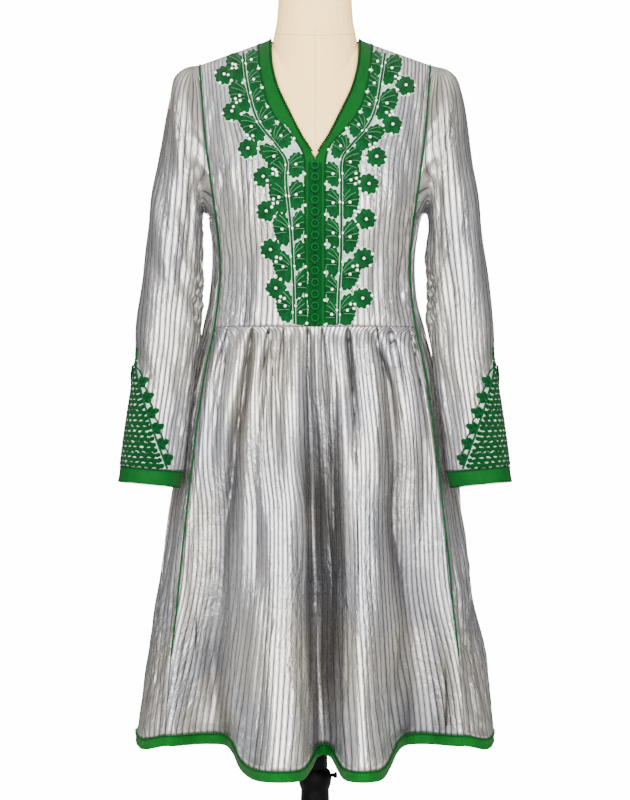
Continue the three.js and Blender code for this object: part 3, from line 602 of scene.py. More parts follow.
def lacquer(name, colour):
    f = Finish(name, Specular_IOR_Level=0.04)
    where = f.here()
    rings = f.node("ShaderNodeTexWave", {"bands_direction": "Z"}, {
        "Vector": where, "Scale": 60.0, "Distortion": 2.0, "Detail": 3.0})
    dust = f.noise(where, 55.0, 6.0)
    worn = tuple(c * 2.5 + 0.001 for c in colour[:3]) + (1,)
    return f.set(Base_Color=f.colours(dust.to(0.45, 0.8), colour, worn), Roughness=0.3 + dust * 0.25,
                 bump=rings * 0.3 + dust * 0.4, bump_height=0.0002)


JERSEY = jersey("cream_jersey")
JERSEY_SEAM = plain_thread("cream_seam", (0.62, 0.43, 0.24, 1), (0.45, 0.30, 0.16, 1))
BLACK = lacquer("black_lacquer", (0.0022, 0.0019, 0.0018, 1))
BLACK_METAL = lacquer("black_screw", (0.003, 0.0028, 0.0028, 1))

# %% [markdown]
# ## Bodice
# The bodice is three panels: two fronts and a back. In the real dress the fronts run from the braid
# to the piped seam, and the stripes stand upright from the waist seam. Where the arm joins, the cloth
# strains in fans of short creases. The panels could be cut from one body mesh, but a grid for each
# keeps its seam edges exact and its stripes straight.

# %% Bodice panels
def mirrored(grid):
    return (grid * [-1, 1, 1])[:, ::-1]


def upright(grid, start):
    """The cloth's measure of a bodice panel: stripes stay upright, counted from the middle."""
    across = np.r_[0, np.cumsum(np.linalg.norm(np.diff(grid, axis=1), axis=2).mean(0))]
    up = np.r_[0, np.cumsum(np.linalg.norm(np.diff(grid, axis=0), axis=2).mean(1))]
    lean = (grid[..., 0] - grid[:1, :, 0]) * 0.35
    return np.stack([across[None] + start + lean, np.broadcast_to(up[:, None], grid.shape[:2])], -1)


def patches(grid, places, wrap=False):
    """Soft round patches of a grid, for crushing it there only: u, v, reach across and reach up."""
    measure = rule(np.concatenate([grid, grid[:, :1]], 1) if wrap else grid)[:, :grid.shape[1]]
    total = np.zeros(grid.shape[:2])
    for u, v, across, up in places:
        total += np.exp(-((measure[..., 0] - u) / across) ** 2 - ((measure[..., 1] - v) / up) ** 2)
    return np.minimum(total, 1)


def beside_seam(h):
    return seam_at(h) - PANEL_GAP


bodice_rows = np.linspace(0.0006, 0.9994, 120)
front = np.stack([
    body_line(s, lambda h: braid_seam_at(h) + PANEL_GAP, beside_seam, bodice_rows, -1)
    for s in np.linspace(0, 1, 72)], 1)
YOKE_REACH = table("height x", [
    [1024, 70], [1100, 72], [1170, 78], [1230, 84], [1260, 100], [1300, 118], [1340, 130], [1380, 142],
    [1421, 136]])
yoke_reach = spline(YOKE_REACH["height"], YOKE_REACH["x"])
beyond_yoke = smooth((front[..., 0] - yoke_reach(front[..., 2])) / 12)

# A crease goes from u, v to u, v, and then come its width and its depth.
FRONT_CREASES = [
    [112, 118, 92, 205, 5, 1.5], [118, 150, 104, 232, 4, 1.5], [108, 170, 90, 262, 5, 1.3],
    [116, 196, 112, 268, 3.5, 1.4], [70, 12, 92, 70, 6, 1.0], [96, 10, 112, 84, 5, 1.4],
    [58, 6, 62, 52, 4, 0.8], [102, 60, 116, 150, 5, 1.4], [84, 100, 96, 170, 7, 1.2],
    [100, 300, 76, 372, 7, 1.2], [116, 318, 108, 380, 4, 1.0], [120, 236, 110, 330, 4, 1.2]]
LEFT_CREASES = [
    [u + 3, v + 9, uu - 4, vv - 6, w * 1.1, d * 0.9] for u, v, uu, vv, w, d in FRONT_CREASES]
for name, mirror, creases, seed in (("right", False, FRONT_CREASES, 3), ("left", True, LEFT_CREASES, 8)):
    grid = creased(front, creases, still=5, keep=beyond_yoke)
    grid = waved(grid, 1.2, 60, 170, seed, keep=beyond_yoke)
    near_arm = beyond_yoke * patches(front, [[118, 170, 16, 60], [112, 40, 20, 50]])
    grid = waved(grid, 0.8, 16, 34, seed + 50, still=5, keep=near_arm, sharp=0.8)
    uv = upright(front, 12)
    if mirror:
        grid, uv = mirrored(grid), uv[:, ::-1] * [-1, 1]
    panel = cloth(f"bodice_front_{name}_cloth", grid, LAME, "striped_cloth", uv)
    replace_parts(panel, f"bodice_front_{name}")


def back_neck_at(x):
    share = np.abs(x) / BAND_CORNER
    curved = mix(BACK_SEAM, shoulder_at(BAND_CORNER), np.minimum(share, 1) ** BACK_POWER)
    return np.where(share >= 1, shoulder_at(x), curved)


def back_line(s):
    line = body_line(abs(s), lambda h: 0 * h, beside_seam, bodice_rows, 1, back_neck_at)
    return line * [-1 if s < 0 else 1, 1, 1]


back = np.stack([back_line(s) for s in np.linspace(1, -1, 111)], 1)
BACK_CREASES = [
    [24, 110, 44, 205, 6, 1.4], [40, 20, 46, 92, 6, 1.2], [88, 8, 92, 66, 5, 1.0], [150, 12, 146, 84, 6, 1.2],
    [206, 8, 200, 60, 5, 1.0], [248, 14, 240, 92, 6, 1.3], [262, 120, 240, 210, 6, 1.4],
    [60, 330, 96, 352, 7, 1.0], [232, 336, 196, 356, 7, 1.0], [120, 210, 128, 300, 10, 1.2]]
back_grid = waved(creased(back, BACK_CREASES, still=6), 1.4, 70, 160, 5)
near_arms = patches(back, [[20, 160, 22, 70], [270, 160, 22, 70]])
back_grid = waved(back_grid, 0.8, 18, 40, 55, still=5, sharp=0.8, keep=near_arms)
back_cloth = cloth("bodice_back_cloth", back_grid, LAME, "striped_cloth", upright(back, 0))
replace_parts(back_cloth, "bodice_back")
print("bodice front", round(rule(front)[0, -1, 0]), "mm across by", round(rule(front)[-1, 0, 1]), "mm")

# %% [markdown]
# ## Side panels
# Each side panel is one length of cloth from the underarm to the hem, so the side has no waist seam.
# It could be left as a part of the front and back, but its stripes run by themselves, its cloth is
# crushed a little more, and its finish is painted darker, as painted shade. It is therefore a strip of
# its own that turns round the side of the body and flares to the hem.

# %% Side panels
lift_across = spline([0, 0.5, 1], [1.1, 0.8, 1])


def hem_rise(height):
    """How much a level of the skirt is raised at the sides, dying out above the knee."""
    return HEM_LIFT * smooth((LIFT_FROM - height) / (LIFT_FROM - HEM))


def side_points(turn, height):
    seam, half = seam_at(height), half_at(height)
    x = np.cos(np.arccos(np.clip((seam + SKIRT_GAP) / half, 0, 1)) * turn) * half
    front_side, back_side = on_body(x, height, -1), on_body(x, height, 1)
    points = np.where((turn < 0)[..., None], front_side, back_side)
    points[..., 1] = np.where(np.abs(turn) < 1e-6, 0, points[..., 1])
    points[..., 2] = height + hem_rise(height) * lift_across(np.abs(turn))
    return points


turns, levels = np.meshgrid(np.linspace(-1, 1, 49), np.linspace(HEM + HEM_BAND, UNDERARM, 150))
side = side_points(turns, levels)
SIDE_CREASES = [
    [40, 60, 52, 260, 12, 3.0], [96, 40, 84, 300, 13, 3.2], [60, 560, 44, 640, 7, 1.8],
    [84, 540, 92, 640, 7, 1.6], [30, 330, 44, 470, 9, 2.2], [100, 380, 92, 500, 9, 2.2],
    [18, 150, 30, 330, 6, 2.0], [24, 470, 18, 600, 5, 1.8], [12, 30, 18, 150, 6, 1.8]]
SIDE_CRUSHED = [[20, 640, 40, 110], [24, 430, 30, 80], [30, 120, 40, 120]]
for name, mirror, seed in (("right", False, 21), ("left", True, 27)):
    grid = waved(creased(side, SIDE_CREASES, still=8), 2.0, 70, 260, seed, still=12)
    grid = waved(grid, 1.0, 20, 60, seed + 50, still=6, sharp=0.8, keep=patches(side, SIDE_CRUSHED))
    uv = rule(side)
    if mirror:
        grid, uv = mirrored(grid), uv[:, ::-1]
    # The side panels' lame is painted darker: painted shade.
    panel = cloth(f"side_panel_{name}_cloth", grid, LAME_SIDE_SHADED, "striped_cloth", uv)
    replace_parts(panel, f"side_panel_{name}")
print("side panel", round(rule(side)[-1, -1, 1]), "mm long")

# %% [markdown]
# ## Skirt
# The skirt front and back are straight lengths of cloth, wider than the waist, laid in small uneven
# pleats and then left to hang. The pleats are deep slits at the seam that open into round folds, and
# near the hem two broad folds stand forward with a deep valley between them. The hem's plan is a
# smooth closed line through a few listed ridges and valleys, and each upright thread of the cloth
# runs from its place in the waist seam to its place on that line. A cloth simulation could find such
# folds too, but not these very ones, so each fold is a valley drawn down the cloth.

# %% The skirt's hem plan and pleats
FRONT_HEM = table("x y", [
    [-208.3, -58], [-180, -44], [-150, -33], [-128, -42], [-113, -82], [-100, -132], [-76, -172], [-46, -186],
    [-20, -170], [-6, -130], [3, -95], [12, -86], [22, -96], [31, -130], [42, -168], [64, -186], [88, -168],
    [102, -125], [114, -78], [130, -42], [152, -34], [180, -45], [208.3, -58]])
BACK_HEM = table("x y", [
    [208.3, 58], [184, 54], [160, 62], [142, 92], [124, 138], [98, 164], [72, 152], [58, 118], [44, 104],
    [26, 124], [10, 160], [-14, 176], [-38, 160], [-52, 122], [-66, 106], [-82, 124], [-98, 152],
    [-122, 156], [-142, 124], [-156, 84], [-178, 58], [-208.3, 58]])
FRONT_PLEATS = table("share x depth length", [
    [0.06, -121, 9, 0.12], [0.175, -86, 15, 0.20], [0.265, -63, 9, 0.13], [0.35, -43, 10, 0.13],
    [0.485, -11, 12, 0.18], [0.545, 9.6, 9, 0.16], [0.655, 45, 14, 0.20], [0.80, 84.8, 14, 0.18],
    [0.87, 103.4, 10, 0.13], [0.955, 130, 9, 0.12]])
BACK_PLEATS = table("share x depth length", [
    [0.07, 120, 8, 0.12], [0.15, 97, 11, 0.16], [0.255, 68, 13, 0.20], [0.35, 42, 10, 0.15],
    [0.45, 14, 12, 0.22], [0.55, -14, 11, 0.15], [0.66, -45, 13, 0.2], [0.74, -67, 10, 0.14],
    [0.85, -97, 12, 0.17], [0.93, -119, 9, 0.12]])


def valley(*rows):
    """A valley down the skirt: at each height its place across, its depth and its width."""
    return table("height x depth width", sorted(rows))


FRONT_VALLEYS = [
    valley([1022, -87, 0, 5], [1005, -88, 9, 6], [960, -92, 14, 8], [923, -97, 16, 10], [869, -107, 18, 12],
           [814, -113, 20, 13], [760, -121, 19, 14], [705, -124, 16, 15], [600, -127, 10, 16],
           [500, -133, 4, 14], [440, -133, 0, 12]),
    valley([1022, -9, 0, 5], [1005, -7, 12, 6], [950, -5, 15, 8], [869, -4, 22, 10], [760, -4, 26, 12],
           [705, -3, 26, 13], [600, 2, 20, 14], [500, 6, 8, 14], [430, 8, 0, 14]),
    valley([965, 26, 0, 6], [923, 28, 7, 8], [869, 28, 14, 10], [760, 27, 17, 10], [650, 27, 14, 11],
           [597, 26, 11, 12], [500, 22, 4, 12], [440, 22, 0, 12]),
    valley([1022, 82, 0, 5], [1000, 84, 10, 6], [964, 96, 13, 7], [923, 104, 16, 9], [869, 109, 18, 11],
           [814, 111, 18, 12], [760, 107, 18, 14], [705, 114, 17, 15], [651, 122, 15, 15],
           [597, 127, 12, 15], [540, 118, 9, 14], [487, 106, 6, 14], [430, 106, 0, 14]),
    valley([1022, -60, 0, 4], [1000, -59, 9, 5], [960, -57, 10, 6], [900, -56, 9, 8], [815, -56, 7, 10],
           [740, -56, 0, 10]),
    valley([840, -77, 0, 8], [760, -79, 6, 8], [705, -80, 7, 9], [640, -80, 0, 9]),
    valley([900, 148, 0, 8], [814, 150, 8, 10], [760, 148, 7, 10], [690, 148, 0, 10]),
    valley([620, -140, 0, 10], [542, -142, 7, 12], [487, -139, 6, 12], [429, -139, 0, 12]),
    valley([1022, 46, 0, 4], [1000, 47, 8, 5], [950, 50, 7, 6], [880, 55, 4, 8], [820, 58, 0, 8]),
    valley([1022, -118, 0, 4], [1000, -120, 8, 5], [950, -126, 8, 7], [880, -136, 7, 9], [780, -148, 4, 10],
           [700, -156, 0, 10])]
BACK_VALLEYS = [table("height x depth width", np.stack([
    v["height"], 9 - 0.96 * v["x"], np.minimum(v["depth"], 15), v["width"]], -1)) for v in FRONT_VALLEYS]


SHELF = table("height depth", [[430, 2], [520, 16], [640, 26], [760, 26], [860, 18], [940, 9], [1000, 0]])
ROOM = table("height room", [[780, 70], [815, 42], [860, 27], [930, 18], [1000, 14], [WAIST, 13]])
PITCH = table("height pitch", [[HEM, 0.83], [560, 0.98], [690, 1.15], [870, 1.2], [WAIST, 1.24]])
COLUMNS, ROWS, PLEAT_EDGE = 290, 104, 0.006
SKIRT_DROP = 600
WAIST_HALF = float(seam_at(np.array(float(WAIST))))
print("pleats", len(FRONT_PLEATS["share"]), "and", len(BACK_PLEATS["share"]))


# %% How the skirt hangs
def hem_line(hem):
    """The hem's plan as a close row of points."""
    points = np.stack([hem["x"], hem["y"]], -1)
    chord = np.r_[0, np.cumsum(np.sqrt(np.linalg.norm(np.diff(points, axis=0), axis=1)))]
    return spline(chord, points)(np.linspace(0, chord[-1], 1600))


def hung(outline, side, pleats, share, fall):
    """The panel without folds: every thread runs from its place in the waist seam to its place on the hem."""
    height = mix(WAIST - 0.15, HEM + HEM_BAND, fall) + 0 * share[None]
    breadth = seam_at(height) - SKIRT_GAP
    edge = math.copysign(1, outline[0, 0])
    waist_spots = np.r_[edge * WAIST_HALF, pleats["x"], -edge * WAIST_HALF]
    at_waist = np.interp(share, np.r_[0, pleats["share"], 1], waist_spots) / WAIST_HALF
    place = mix(at_waist[None], mix(edge, -edge, share)[None], smooth(fall / 0.6))
    hem_points = along(outline, share)
    x = mix(place * breadth, hem_points[None, :, 0], fall ** 1.1)
    over = on_body(np.clip(x, -breadth, breadth), height, side)[..., 1]
    y = mix(over, hem_points[None, :, 1], fall ** 1.7)
    hip = on_body(place * breadth, height, side)
    loose = smooth(np.minimum(share, 1 - share) / 0.07)[None]
    grid = hip + (np.stack([x, y, height], -1) - hip) * loose[..., None]
    reach = (40, 140) if side < 0 else (55, 60)
    raised = 1 - smooth((side * hem_points[:, 1] - reach[0]) / reach[1])
    if side > 0:
        raised = np.maximum(raised, 0.85 * smooth((np.abs(hem_points[:, 0]) - 58) / 56))
    grid[..., 2] += hem_rise(height) * mix(1, raised[None], loose)
    return grid, height, loose


def valley_depth(grid, height, side, valleys):
    """How deep the long folds press the panel in. In front the middle one is steep on its left."""
    sunk = np.zeros_like(height)
    broad = mix(1.15, 0.55, smooth((height - 820) / 120))
    for line in valleys:
        middle, deep, wide = (spline(line["height"], line[k])(height) for k in ("x", "depth", "width"))
        sunk += 1.35 * deep * np.exp(-np.abs((grid[..., 0] - middle) / (broad * wide)) ** 1.5)
    if side < 0:
        off = grid[..., 0] + 6 - 5 * smooth((700 - height) / 200)
        deep = spline(SHELF["height"], SHELF["depth"])(height)
        sunk += deep * np.exp(-np.abs(off / np.where(off < 0, 4.0, 25.0)) ** 1.7)
    return sunk


def pleat_depth(pleats, share, fall):
    """How deep the pleats' slits are: sharp at the waist seam, wider and shallower below it."""
    sunk = 0
    for spot, depth, length in zip(pleats["share"], pleats["depth"], pleats["length"]):
        wide = mix(0.0036, 0.02, np.clip(fall / max(length, 0.15), 0, 1) ** 1.5)
        deep = depth * smooth((fall + 0.004) / 0.02) * (1 - smooth((fall - length * 0.5) / (length * 1.4)))
        sunk = sunk + deep * np.exp(-np.abs((share[None] - spot) / wide) ** 1.6)
    return sunk


def pleat_swell(pleats, share, fall):
    """How far the cloth puffs out between two pleats, just below the waist seam."""
    out = 0
    below_seam = smooth(fall / 0.05) * (1 - smooth((fall - 0.12) / 0.5))
    spots = np.r_[0, pleats["share"], 1]
    for low, high in zip(spots[:-1], spots[1:]):
        t = np.clip((share - low) / (high - low), 0, 1)[None]
        swell = min(1, (high - low) / 0.09)
        out = out + 6.5 * swell * np.sin(np.pi * t) ** 1.5 * below_seam
    return out


def stripe_measure(grid, height, share, fall):
    """The cloth's measure, counted from its middle thread and as far apart as the folds let it look."""
    steps = np.diff(grid, axis=1)
    walk = np.cumsum(np.hypot(steps[..., 0], 0.35 * steps[..., 1]), axis=1)
    walk = np.concatenate([np.zeros((len(grid), 1)), walk], 1)
    walk -= walk[:, [int(np.argmin(np.abs(share - 0.5)))]]
    pitch = spline(PITCH["height"], PITCH["pitch"])(height)
    return np.stack([walk * pitch, (1 - fall) * SKIRT_DROP + 0 * height], -1)


def fold_shade_mark(grid, share, side, sunk):
    """How deep in a fold each point lies, 0 to 1: pressed in itself, or behind the cloth on both sides. This
    sets the painted shade of the skirt's folds.
    """
    forward = side * grid[..., 1]
    apart = (grid[:, :, None, 0] - grid[:, None, :, 0]) / 26
    near_by = np.exp(-apart ** 2) * np.gradient(share)[None, None]
    round_it = (near_by * forward[:, None]).sum(2) / near_by.sum(2)
    hollow = np.clip((round_it - forward - 2) / 20, 0, 1)
    return np.maximum(np.clip(sunk / 21, 0, 1) ** 1.4, 0.85 * hollow)


def skirt_panel(hem, side, pleats, valleys):
    """A skirt panel's grid, the cloth's measure on it, its width and the painted shade of its folds."""
    outline = hem_line(hem)
    slits = pleats["share"]
    share = np.unique(np.r_[np.linspace(0, 1, COLUMNS), slits, slits - PLEAT_EDGE, slits + PLEAT_EDGE])
    fall = np.linspace(0, 1, ROWS)[::-1, None] ** 1.25
    grid, height, loose = hung(outline, side, pleats, share, fall)
    sunk = valley_depth(grid, height, side, valleys) + pleat_depth(pleats, share, fall)
    grid = grid + ways_out(grid) * (pleat_swell(pleats, share, fall) * loose)[..., None]
    room = spline(ROOM["height"], ROOM["room"])(height) * (1 if side < 0 else 0.78)
    grid[..., 1] -= side * room * np.tanh(sunk / room) * loose
    width = np.linalg.norm(np.diff(outline, axis=0), axis=1).sum()
    return grid, stripe_measure(grid, height, share, fall), width, fold_shade_mark(grid, share, side, sunk)


# %% Skirt panels
FRONT_FALLS = [
    [560, 60, 548, 300, 12, 2.4], [168, 300, 160, 520, 8, 1.6], [512, 330, 505, 540, 8, 1.6],
    [300, 60, 290, 240, 9, 1.8], [470, 60, 462, 260, 10, 1.9], [190, 96, 214, 128, 5, 1.2],
    [246, 128, 262, 150, 5, 1.2], [384, 70, 420, 104, 6, 1.2], [440, 128, 452, 176, 5, 1.1],
    [600, 20, 612, 96, 5, 1.3], [640, 30, 628, 120, 6, 1.3], [118, 20, 128, 96, 5, 1.3],
    [262, 176, 292, 182, 3.5, 1.4], [270, 190, 262, 232, 4, 1.2], [286, 190, 292, 240, 4, 1.1],
    [340, 60, 352, 150, 5, 1.2]]
BACK_FALLS = [[u + 20, v + 12, uu + 6, vv - 10, w, d] for u, v, uu, vv, w, d in FRONT_FALLS]
FLAT_SHARE = 0.8
hems = []
for name, hem, towards, pleats, valleys, creases, seed in (
        ("front", FRONT_HEM, -1, FRONT_PLEATS, FRONT_VALLEYS, FRONT_FALLS, 31),
        ("back", BACK_HEM, 1, BACK_PLEATS, BACK_VALLEYS, BACK_FALLS, 37)):
    # Each skirt panel also brings the painted shade of its folds.
    grid, uv, width, fold_shade = skirt_panel(hem, towards, pleats, valleys)
    grid = waved(creased(grid, creases, still=16), 1.5, 55, 420, seed, still=12)
    hems.append(grid[0])
    panel = cloth(f"skirt_{name}_cloth", grid, LAME, "striped_cloth", uv, fold_shade=fold_shade)
    flat = (width / 1000, SKIRT_DROP / 1000)
    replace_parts(panel, f"skirt_{name}")
    FLAT_SHARE * flat[0] * flat[1]
    print("skirt", name, "cloth width", round(width), "mm, gathered to", round(2 * WAIST_HALF))

# %% [markdown]
# ## Hem braid
# One length of satin braid binds the whole hem. It follows the last row of the four skirt panels, so
# it turns with every fold, and it is a touch thicker than the cloth. It hangs in the open light below
# the folds, so its green is painted lighter than the braid at the cuffs: painted light. A fine cord of
# stitching runs near its edge.

# %% Hem braid
EDGE_CORD, EDGE_OUT = 0.6, 0.8
side_row = side_points(np.linspace(-1, 1, 41), np.full(41, float(HEM + HEM_BAND)))
left_row = side_row[::-1] * [-1, 1, 1]
ring = np.concatenate([hems[0], side_row[1:-1], hems[1], left_row[1:-1]])
profile = table("drop out", [
    [15.2, 0.1], [14.4, 0.9], [12, 0.8], [8, 0.55], [4, 0.8], [1.2, 0.95], [-0.6, 0.7]])
drop, out = profile["drop"][:, None, None], profile["out"][:, None, None]
UP = np.array([0, 0, 1])
base = np.stack([ring] * len(drop))
normal = ways_out(base + np.linspace(-HEM_BAND, 0, len(drop))[:, None, None] * UP, True)
band = base + normal * out - drop * UP
# Its lighter green is painted light.
hem_braid = cloth("hem_braid_band", band, BRAID_HEM_LIT, "green_braid", wrap=True, thick=1.7)
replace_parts(hem_braid, "hem_braid")
hem_length = np.linalg.norm(np.diff(np.r_[ring, ring[:1]], axis=0), axis=1).sum()
hem_length / 1000
sewn = band[-2] + EDGE_OUT * normal[-2]
sewn_on("hem_edge", [tube(np.r_[sewn, sewn[:1]], EDGE_CORD, 5)], BRAID_DARK, "green_braid")
print("hem round", round(hem_length), "mm")

# %% [markdown]
# ## Sleeves
# A sleeve is one tapered piece, sewn round the armhole and hanging a little forward. A bent cylinder
# would not meet the slanting armhole, so the sleeve is lofted through a few slanted rings, the first of
# which is the armhole seam itself. The cloth gathers in fine creases at the front of the armhole, bends
# at the elbow, and hangs in long soft flutes above the cuff.

# %% The sleeve's rings
SLEEVE = table("outer_x outer_z inner_x inner_z deep y", [
    [184, 1387, 152.5, 1182, 62, 0], [197.9, 1374.8, 155.9, 1180.9, 60, -2],
    [203.8, 1351.6, 157.4, 1164.8, 57, -4], [209.6, 1309.3, 156.7, 1134.6, 54, -8],
    [218.4, 1257, 156, 1109.5, 51, -13],
    [228, 1203.8, 155.3, 1084.3, 49, -19], [235.6, 1138.7, 155.1, 1061.2, 47, -26],
    [242.2, 1078.8, 155.3, 1034.2, 45, -34], [247.6, 1021.1, 157, 1004.2, 43, -43],
    [248.1, 984.3, 162.1, 974.4, 41, -52], [252.6, 944.7, 167.7, 939.8, 39, -60],
    [260.1, 893.4, 173.9, 890.5, 37, -67], [265.7, 851.2, 178.6, 846.2, 36, -71],
    [267.8, 832.5, 181.1, 825.1, 35.5, -72]])
FRONT_SHARE, ARM_GAP = 0.4, 0.3
CUFF_END = dict(outer_x=270.5, outer_z=811.9, inner_x=186.9, inner_z=803.5, deep=36, y=-74)


def ring_points(row, share):
    """A slanted ring round the arm: share 0 is its outer line and 0.25 its front."""
    angle = 2 * np.pi * share
    swing = np.cos(angle) * 0.5
    x = (row["outer_x"] + row["inner_x"]) / 2 + (row["outer_x"] - row["inner_x"]) * swing
    z = (row["outer_z"] + row["inner_z"]) / 2 + (row["outer_z"] - row["inner_z"]) * swing
    return np.stack([x, row["y"] - row["deep"] * np.sin(angle), z], -1)


def armhole_points(shares):
    """The armhole seam: down the front or the back panel's edge, and on over the top of the side panel."""
    points = []
    for share in shares:
        down, side = (share, -1) if share <= 0.5 else (1 - share, 1)
        if down >= FRONT_SHARE:
            turn = side * (0.5 - down) / (0.5 - FRONT_SHARE)
            p = side_points(np.array([turn]), np.array([float(UNDERARM)]))[0]
            points.append([p[0], p[1], UNDERARM + ARM_GAP])
            continue
        column = front[:, -1] if side < 0 else back[:, 0]
        corner = on_body(seam_at(UNDERARM), UNDERARM, side)
        edge = np.concatenate([column[column[:, 2] > UNDERARM + 1][::-1], corner[None]])
        p = along(edge, [down / FRONT_SHARE])[0]
        points.append([p[0] + ARM_GAP, p[1], max(p[2], UNDERARM + ARM_GAP)])
    return np.array(points)


AROUND = 112
shares = np.linspace(0, 1, AROUND, endpoint=False)
rings = [armhole_points(shares)] + [
    ring_points({k: v[i] for k, v in SLEEVE.items()}, shares) for i in range(len(SLEEVE["y"]))]
rings = np.array(rings)
middles = rings.mean(1)
levels_down = np.r_[0, np.cumsum(np.linalg.norm(np.diff(middles, axis=0), axis=1) + 1)]
levels_down[1] = max(levels_down[1], 14)
sleeve_at = spline(levels_down, rings)
sleeve = sleeve_at(np.linspace(levels_down[-1], 0, 152))[:, ::-1]
print("sleeve", round(levels_down[-1]), "mm long, cuff round",
      round(np.linalg.norm(np.diff(rings[-1], axis=0), axis=1).sum()), "mm")

# %% Sleeve folds
# Across, 0 is the outer line, and then come the back, the underside, the front at 193 and the outer
# line again. Up, 0 is the cuff, and the armhole is at the far end.
CUFF_ROUND = 258.0
GUSSET_HEIGHT, GUSSET_HALF, GUSSET_LEAN = 158.0, 94.0, 13
ARM_RADIUS = 36


def gusset_half(up):
    return GUSSET_HALF * (1 - np.clip(up / GUSSET_HEIGHT, 0, 1)) ** 0.82


SLEEVE_CREASES = [
    [232, 560, 246, 470, 5, 1.9], [222, 540, 240, 430, 6, 2.1], [244, 530, 258, 400, 6, 1.9],
    [212, 520, 232, 380, 8, 2.3], [262, 566, 268, 440, 6, 1.6], [200, 490, 206, 420, 5, 1.7],
    [184, 470, 200, 380, 6, 2.0], [170, 440, 190, 340, 6, 1.9], [206, 330, 176, 296, 5, 2.2],
    [212, 300, 172, 270, 5, 2.6], [214, 268, 176, 250, 5, 2.4], [208, 240, 178, 214, 5, 2.1],
    [196, 350, 160, 320, 5, 1.9], [236, 330, 244, 190, 9, 2.8], [222, 260, 226, 100, 8, 2.6],
    [198, 480, 194, 140, 7, 3.4], [204, 210, 208, 40, 8, 2.6], [176, 220, 182, 50, 8, 2.6],
    [140, 330, 132, 120, 10, 2.4], [110, 420, 104, 180, 10, 2.4], [74, 520, 66, 300, 10, 2.4],
    [44, 540, 40, 330, 9, 2.0], [90, 560, 92, 460, 6, 1.6], [150, 470, 146, 380, 7, 1.8],
    [226, 440, 224, 300, 6, 2.4], [164, 300, 160, 60, 8, 2.2]]
CRUSHED = [
    [176, 440, 30, 60], [150, 400, 24, 60], [190, 285, 34, 46], [196, 80, 30, 60], [80, 430, 30, 60]]
ARM_MIDDLE = table("height x y", [
    [750, 226, -76], [829, 224, -72], [979, 205, -52], [1056, 199, -36], [1144, 191, -21], [1450, 168, 0]])
sleeve_up = np.linspace(0, levels_down[-1], sleeve.shape[0])
sleeve_across = (np.arange(AROUND) + 1) / AROUND * CUFF_ROUND
leaning = sleeve_across[None] + GUSSET_LEAN * smooth(sleeve_up[:, None] / GUSSET_HEIGHT)
from_outer = np.abs((leaning + CUFF_ROUND / 2) % CUFF_ROUND - CUFF_ROUND / 2)
off_gusset = smooth((from_outer - gusset_half(sleeve_up[:, None]) - 1) / 14)
off_gusset = np.maximum(off_gusset, smooth((sleeve_up[:, None] - GUSSET_HEIGHT - 8) / 14))


def round_the_arm(grid):
    """The cloth's measure of a sleeve: stripes run straight along the arm, up over the sleeve head."""
    x, y = (spline(ARM_MIDDLE["height"], ARM_MIDDLE[k])(grid[..., 2]) for k in ("x", "y"))
    angle = np.unwrap(np.arctan2(grid[..., 1] - y, grid[..., 0] - x), axis=1)
    across = angle * ARM_RADIUS * STRIPE / (2 * np.pi)
    return np.stack([across, np.broadcast_to(sleeve_up[:, None], angle.shape)], -1)


for name, mirror, seed in (("right", False, 41), ("left", True, 47)):
    wobble = [[u + (seed % 7) - 3, v + (seed % 5) * 2 - 4, uu, vv, w, d]
              for u, v, uu, vv, w, d in SLEEVE_CREASES]
    grid = creased(sleeve, wobble, wrap=True, still=12, keep=off_gusset)
    grid = waved(grid, 1.2, 60, 150, seed, wrap=True, still=20, keep=off_gusset)
    grid = waved(grid, 0.6, 22, 40, seed + 50, wrap=True, still=6, sharp=0.9,
                 keep=off_gusset * patches(sleeve, CRUSHED, True))
    uv = round_the_arm(np.concatenate([sleeve, sleeve[:, :1]], 1))
    if mirror:
        grid, uv = mirrored(grid), uv[:, ::-1]
    # The sleeves' lame is painted darker: painted shade.
    panel = cloth(f"sleeve_{name}_cloth", grid, LAME_SLEEVE_SHADED, "striped_cloth", uv, wrap=True)
    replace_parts(panel, f"sleeve_{name}")

# %% [markdown]
# ## Cuffs and gussets
# The cuff is a band of the same braid with a fine stitched cord along its top, and a triangular gusset
# of worked net is let into the outer line of the sleeve above it. On the net stand close rows of small
# green florets, and each slanting edge has a stem with loops and three-lobed leaves. The needlework
# could be a pattern in the finish, but real stitches stand up from the net. Each motif is therefore a
# small raised piece, laid on the sleeve's own surface.

# %% Cuff braid
CUFF_PROFILE = [[1.0, 0.0], [0.97, 0.9], [0.8, 0.75], [0.5, 0.5], [0.2, 0.75], [0.05, 0.95], [0.0, 0.6]]
cuff_top = {k: v[-1] for k, v in SLEEVE.items()}
bands = []
for t, out in CUFF_PROFILE:
    row = {k: mix(cuff_top[k], CUFF_END[k], t) for k in CUFF_END}
    ring = ring_points(row, shares)[::-1]
    centre = ring.mean(0)
    flat = (ring - centre) * [1, 1, 0]
    bands.append(ring + out * flat / np.linalg.norm(flat, axis=1, keepdims=True))
bands = np.array(bands)
for name, sign in (("right", 1), ("left", -1)):
    grid = bands if sign > 0 else mirrored(bands)
    cuff = cloth(f"cuff_braid_{name}_band", grid, BRAID, "green_braid", wrap=True, thick=1.6)
    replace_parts(cuff, f"cuff_braid_{name}")
    sewn = np.r_[bands[-2], bands[-2][:1]] * [sign, 1, 1]
    away = sewn - sewn.mean(0)
    sewn = sewn + EDGE_OUT * away / np.linalg.norm(away, axis=1, keepdims=True)
    sewn_on(f"cuff_edge_{name}", [tube(sewn, EDGE_CORD, 5)], BRAID_DARK, "green_braid")
print("cuff round", round(np.linalg.norm(np.diff(sewn, axis=0), axis=1).sum()), "mm")

